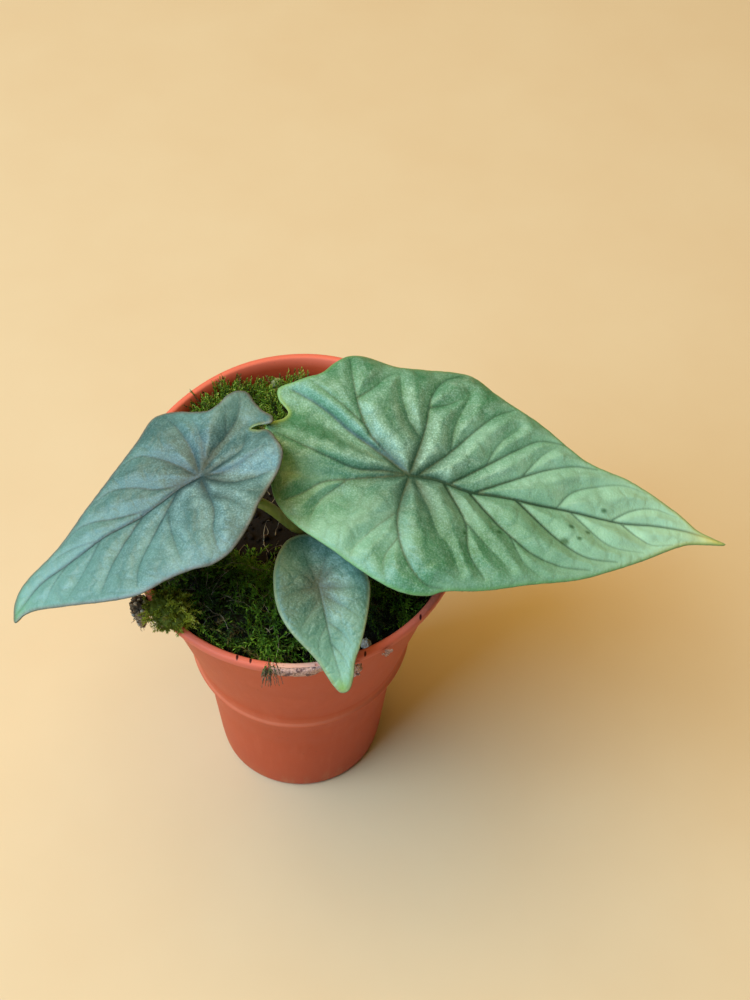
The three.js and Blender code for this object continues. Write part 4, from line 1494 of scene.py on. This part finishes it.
def make_root_clump(finish):
    points, outward, faces = lump("root_clump", 0.86, 5, 0.22)
    at, half, _ = LUMPS["root_clump"]
    level = (points[:, 2] - at[2]) / half[2]
    narrow = np.interp(level, [-1, -0.3, 0.4, 1], [0.25, 0.55, 1.0, 1.0])
    points[:, :2] = (points[:, :2] - at[:2]) * narrow[:, None] + at[:2]
    chosen = draw.choice(len(points), CLUMP_GRAINS)
    sizes = draw.uniform(0.25, 0.75, len(chosen))
    grains, shells, corners = rocks(points[chosen] + 0.2 * outward[chosen], sizes)
    parts = [(points, faces, {"tone": 0.3})]
    parts.append((grains, shells, {"tone": np.repeat(draw.uniform(0, 1, len(chosen)), corners)}))
    for spot in draw.choice(np.flatnonzero(level < 0), CLUMP_ROOTLETS):
        way = outward[spot] * 0.4 + np.array([0, 0, -0.8]) + draw.normal(0, 0.3, 3)
        line = wander(points[spot], way, draw.uniform(1, 3), 0.05, 0.25)
        tube, shells = swept(line, np.linspace(0.16, 0.06, len(line)), FIBRE_SIDES)
        parts.append((tube, shells, {"tone": 0.6}))
    points, faces, marks = joined(parts)
    make_piece("root_and_peat_lump", points, faces, finish, ["root_clump"], marks)


make_root_clump(root_finish())

# %% Dry fibres
MOSS_FIBRES = 90
SOIL_FIBRES = 70


def fibre_finish():
    fibre = Finish("dry_fibre", Specular_IOR_Level=0.4, Roughness=0.6)
    streak = fibre.between(fibre.noise(3, 3), 0.4, 0.65)
    fibre.surface(fibre.mix((92, 82, 66), (176, 170, 150), streak))
    fibre.bump(fibre.noise(0.3), 0.04)
    return fibre


def fibre_lines():
    """Wandering lines with their thickness, on the front moss and then on the soil."""
    lines = []
    cushion, outward, _ = lump("moss_front_left", 0.92, 4)
    high = np.flatnonzero((cushion[:, 2] > 122) & (np.hypot(cushion[:, 0], cushion[:, 1]) < 50))
    for spot in draw.choice(high, MOSS_FIBRES):
        way = draw.normal(0, 1, 3) * (1, 1, 0.25) + np.array([0, 0, 0.5])
        line = wander(cushion[spot] + outward[spot], way, draw.uniform(6, 20), 0.09, 0.2)
        lines.append((line, draw.uniform(0.07, 0.15)))
    for x, y in scattered(SOIL_FIBRES, 44):
        height = soil_height(np.array([[x, y]]))[0]
        line = wander((x, y, height + 0.4), draw.normal(0, 1, 3) * (1, 1, 0.15), draw.uniform(5, 16), 0, 0.3)
        line[:, 2] = np.maximum(line[:, 2], height + 0.2)
        lines.append((line, draw.uniform(0.08, 0.2)))
    return lines


def make_fibres(finish):
    tubes = []
    for line, thick in fibre_lines():
        radii = np.linspace(thick, 0.4 * thick, len(line))
        tube, shells = swept(kept_inside(line, 0.8), radii, FIBRE_SIDES)
        tubes.append((tube, shells, {"tone": draw.uniform(0.3, 0.8)}))
    points, faces, marks = joined(tubes)
    make_piece("dry_fibres", points, faces, finish, marks=marks)


make_fibres(fibre_finish())

# %% [markdown]
# ## Crust, pebble and perlite
# Hard water and old peat have left a pale pink crust on the front of the rim, a thin bead with a
# ragged lower edge. Two torn bits of it hang lower, each a cluster of small shards. A grey pebble
# lies on the moss at the back, and white perlite grains on the soil. All are closed stones or
# beads roughened by noise of several sizes, and their finishes add the pores.

# %% Small hard pieces
LUMPS |= {
    "pebble": ((-10.7, 54.5, 126.5), (2.2, 1.9, 1.8), 20),
    "rim_crumb_middle": ((21.2, -60.4, 127.5), (2, 1.8, 3.5), 20),
    "rim_crumb_right": ((30, -54.6, 129), (1.8, 1.6, 2.2), 30),
    "perlite_1": ((23.5, -45, 118.75), (1.6, 1.6, 1.6), 0),
    "perlite_2": ((20, -47, 118.45), (1.3, 1.3, 1.3), 0),
    "perlite_3": ((16.5, -46, 118.35), (1.2, 1.2, 1.2), 0),
    "perlite_4": ((42, -22.5, 118.55), (1.4, 1.4, 1.4), 0),
}


def stone_finish(name, low, high, dark_patch, pores, depth):
    stone = Finish(name, Specular_IOR_Level=0.35)
    grain = stone.noise(0.5, 5, 0.7)
    patch = stone.between(stone.noise(1.8, 3), 0.5, 0.62)
    colour = stone.mix(low, high, stone.between(grain, 0.35, 0.65))
    stone.surface(stone.mix(colour, dark_patch, patch * pores), 0.65 + 0.25 * grain)
    stone.bump(grain + 0.6 * stone.cells(0.45), depth)
    return stone


def make_stone(name, piece_name, rough, finish):
    points, _, faces = lump(name, 0.97, 4, rough)
    make_piece(piece_name, points, faces, finish, [name])


def torn_bit(name, piece_name, count, size):
    """Shards that hang from the rim and get smaller downwards."""
    centre, half, _ = LUMPS[name]
    around = math.atan2(centre[1], centre[0])
    beside = np.array([-math.sin(around), math.cos(around), 0])
    drop = draw.uniform(0, 1, count)
    shift = draw.normal(0, 0.42 * half[0], count) * (1 - 0.55 * drop)
    places = np.array(centre) + shift[:, None] * beside
    places[:, 2] += half[2] * (0.75 - 1.6 * drop)
    sizes = size * (1.15 - 0.75 * drop) * draw.uniform(0.6, 1.2, count)
    points, faces, _ = rocks(places, sizes, 2)
    make_piece(piece_name, points, faces, crust, [name])


crust = stone_finish("pale_crust", (172, 134, 130), (232, 198, 188), (84, 58, 66), 0.85, 0.3)
pebble_grey = stone_finish("grey_pebble", (112, 124, 96), (154, 166, 132), (96, 116, 62), 0.6, 0.12)
perlite_white = stone_finish("perlite_grain", (178, 176, 168), (232, 230, 222), (120, 116, 106), 0.35, 0.4)
make_stone("pebble", "mossy_pebble", 0.1, pebble_grey)
torn_bit("rim_crumb_middle", "crust_lump_middle", 46, 0.62)
torn_bit("rim_crumb_right", "crust_lump_right", 34, 0.5)
for number in range(1, 5):
    make_stone(f"perlite_{number}", f"perlite_grain_{number}", 0.3, perlite_white)

# %% Crust bead on the rim
BEAD_FROM = math.radians(-94.5)
BEAD_TO = math.radians(-78)
BEAD_RINGS = 170
BEAD_TAPER = 0.06
BEAD_RADIUS = 59
BEAD_SECTION = np.array([
    (58.5, 131.9), (58.9, 132.15), (59.4, 132.05), (59.65, 131.7), (59.72, 131), (59.72, 130.2),
    (59.7, 129.5), (59.5, 129), (59.2, 128.9), (58.9, 129.6), (58.8, 131),
])


def make_crust_bead():
    around = np.linspace(BEAD_FROM, BEAD_TO, BEAD_RINGS)
    line = np.c_[around * 60, np.zeros((BEAD_RINGS, 2))]
    rag = 0.9 + 1.1 * cloud(line, 2.6, 3.0) + 0.8 * cloud(line, 0.9, 8.0)
    ends = np.clip(np.minimum(around - BEAD_FROM, BEAD_TO - around) / BEAD_TAPER, 0, 1)
    out, height = BEAD_SECTION.T
    low = np.clip((131.5 - height) / 3, 0, 1)
    rings = []
    for angle, drop, end in zip(around, rag, ends):
        level = height - drop * low * end + (1 - end) * low * 1.2
        radius = BEAD_RADIUS + (out - BEAD_RADIUS) * (0.4 + 0.6 * end) - 0.25 * drop * low * end
        rings.append(np.c_[radius * math.cos(angle), radius * math.sin(angle), level])
    rings = np.vstack(rings)
    bumps = 0.16 * cloud(rings, 0.8, 2.0) + 0.12 * cloud(rings, 2.0, 6.0)
    rings[:, :2] *= (1 + bumps / np.hypot(rings[:, 0], rings[:, 1]))[:, None]
    rings[:, 2] += 0.5 * bumps
    faces = tube_faces(BEAD_RINGS, len(BEAD_SECTION))
    make_piece("crust_bead", pushed_oval(rings), faces, crust, ["rim_crumb_front"])


make_crust_bead()

# %% [markdown] ## Size The dressed model has to fill the same box as the construction model.
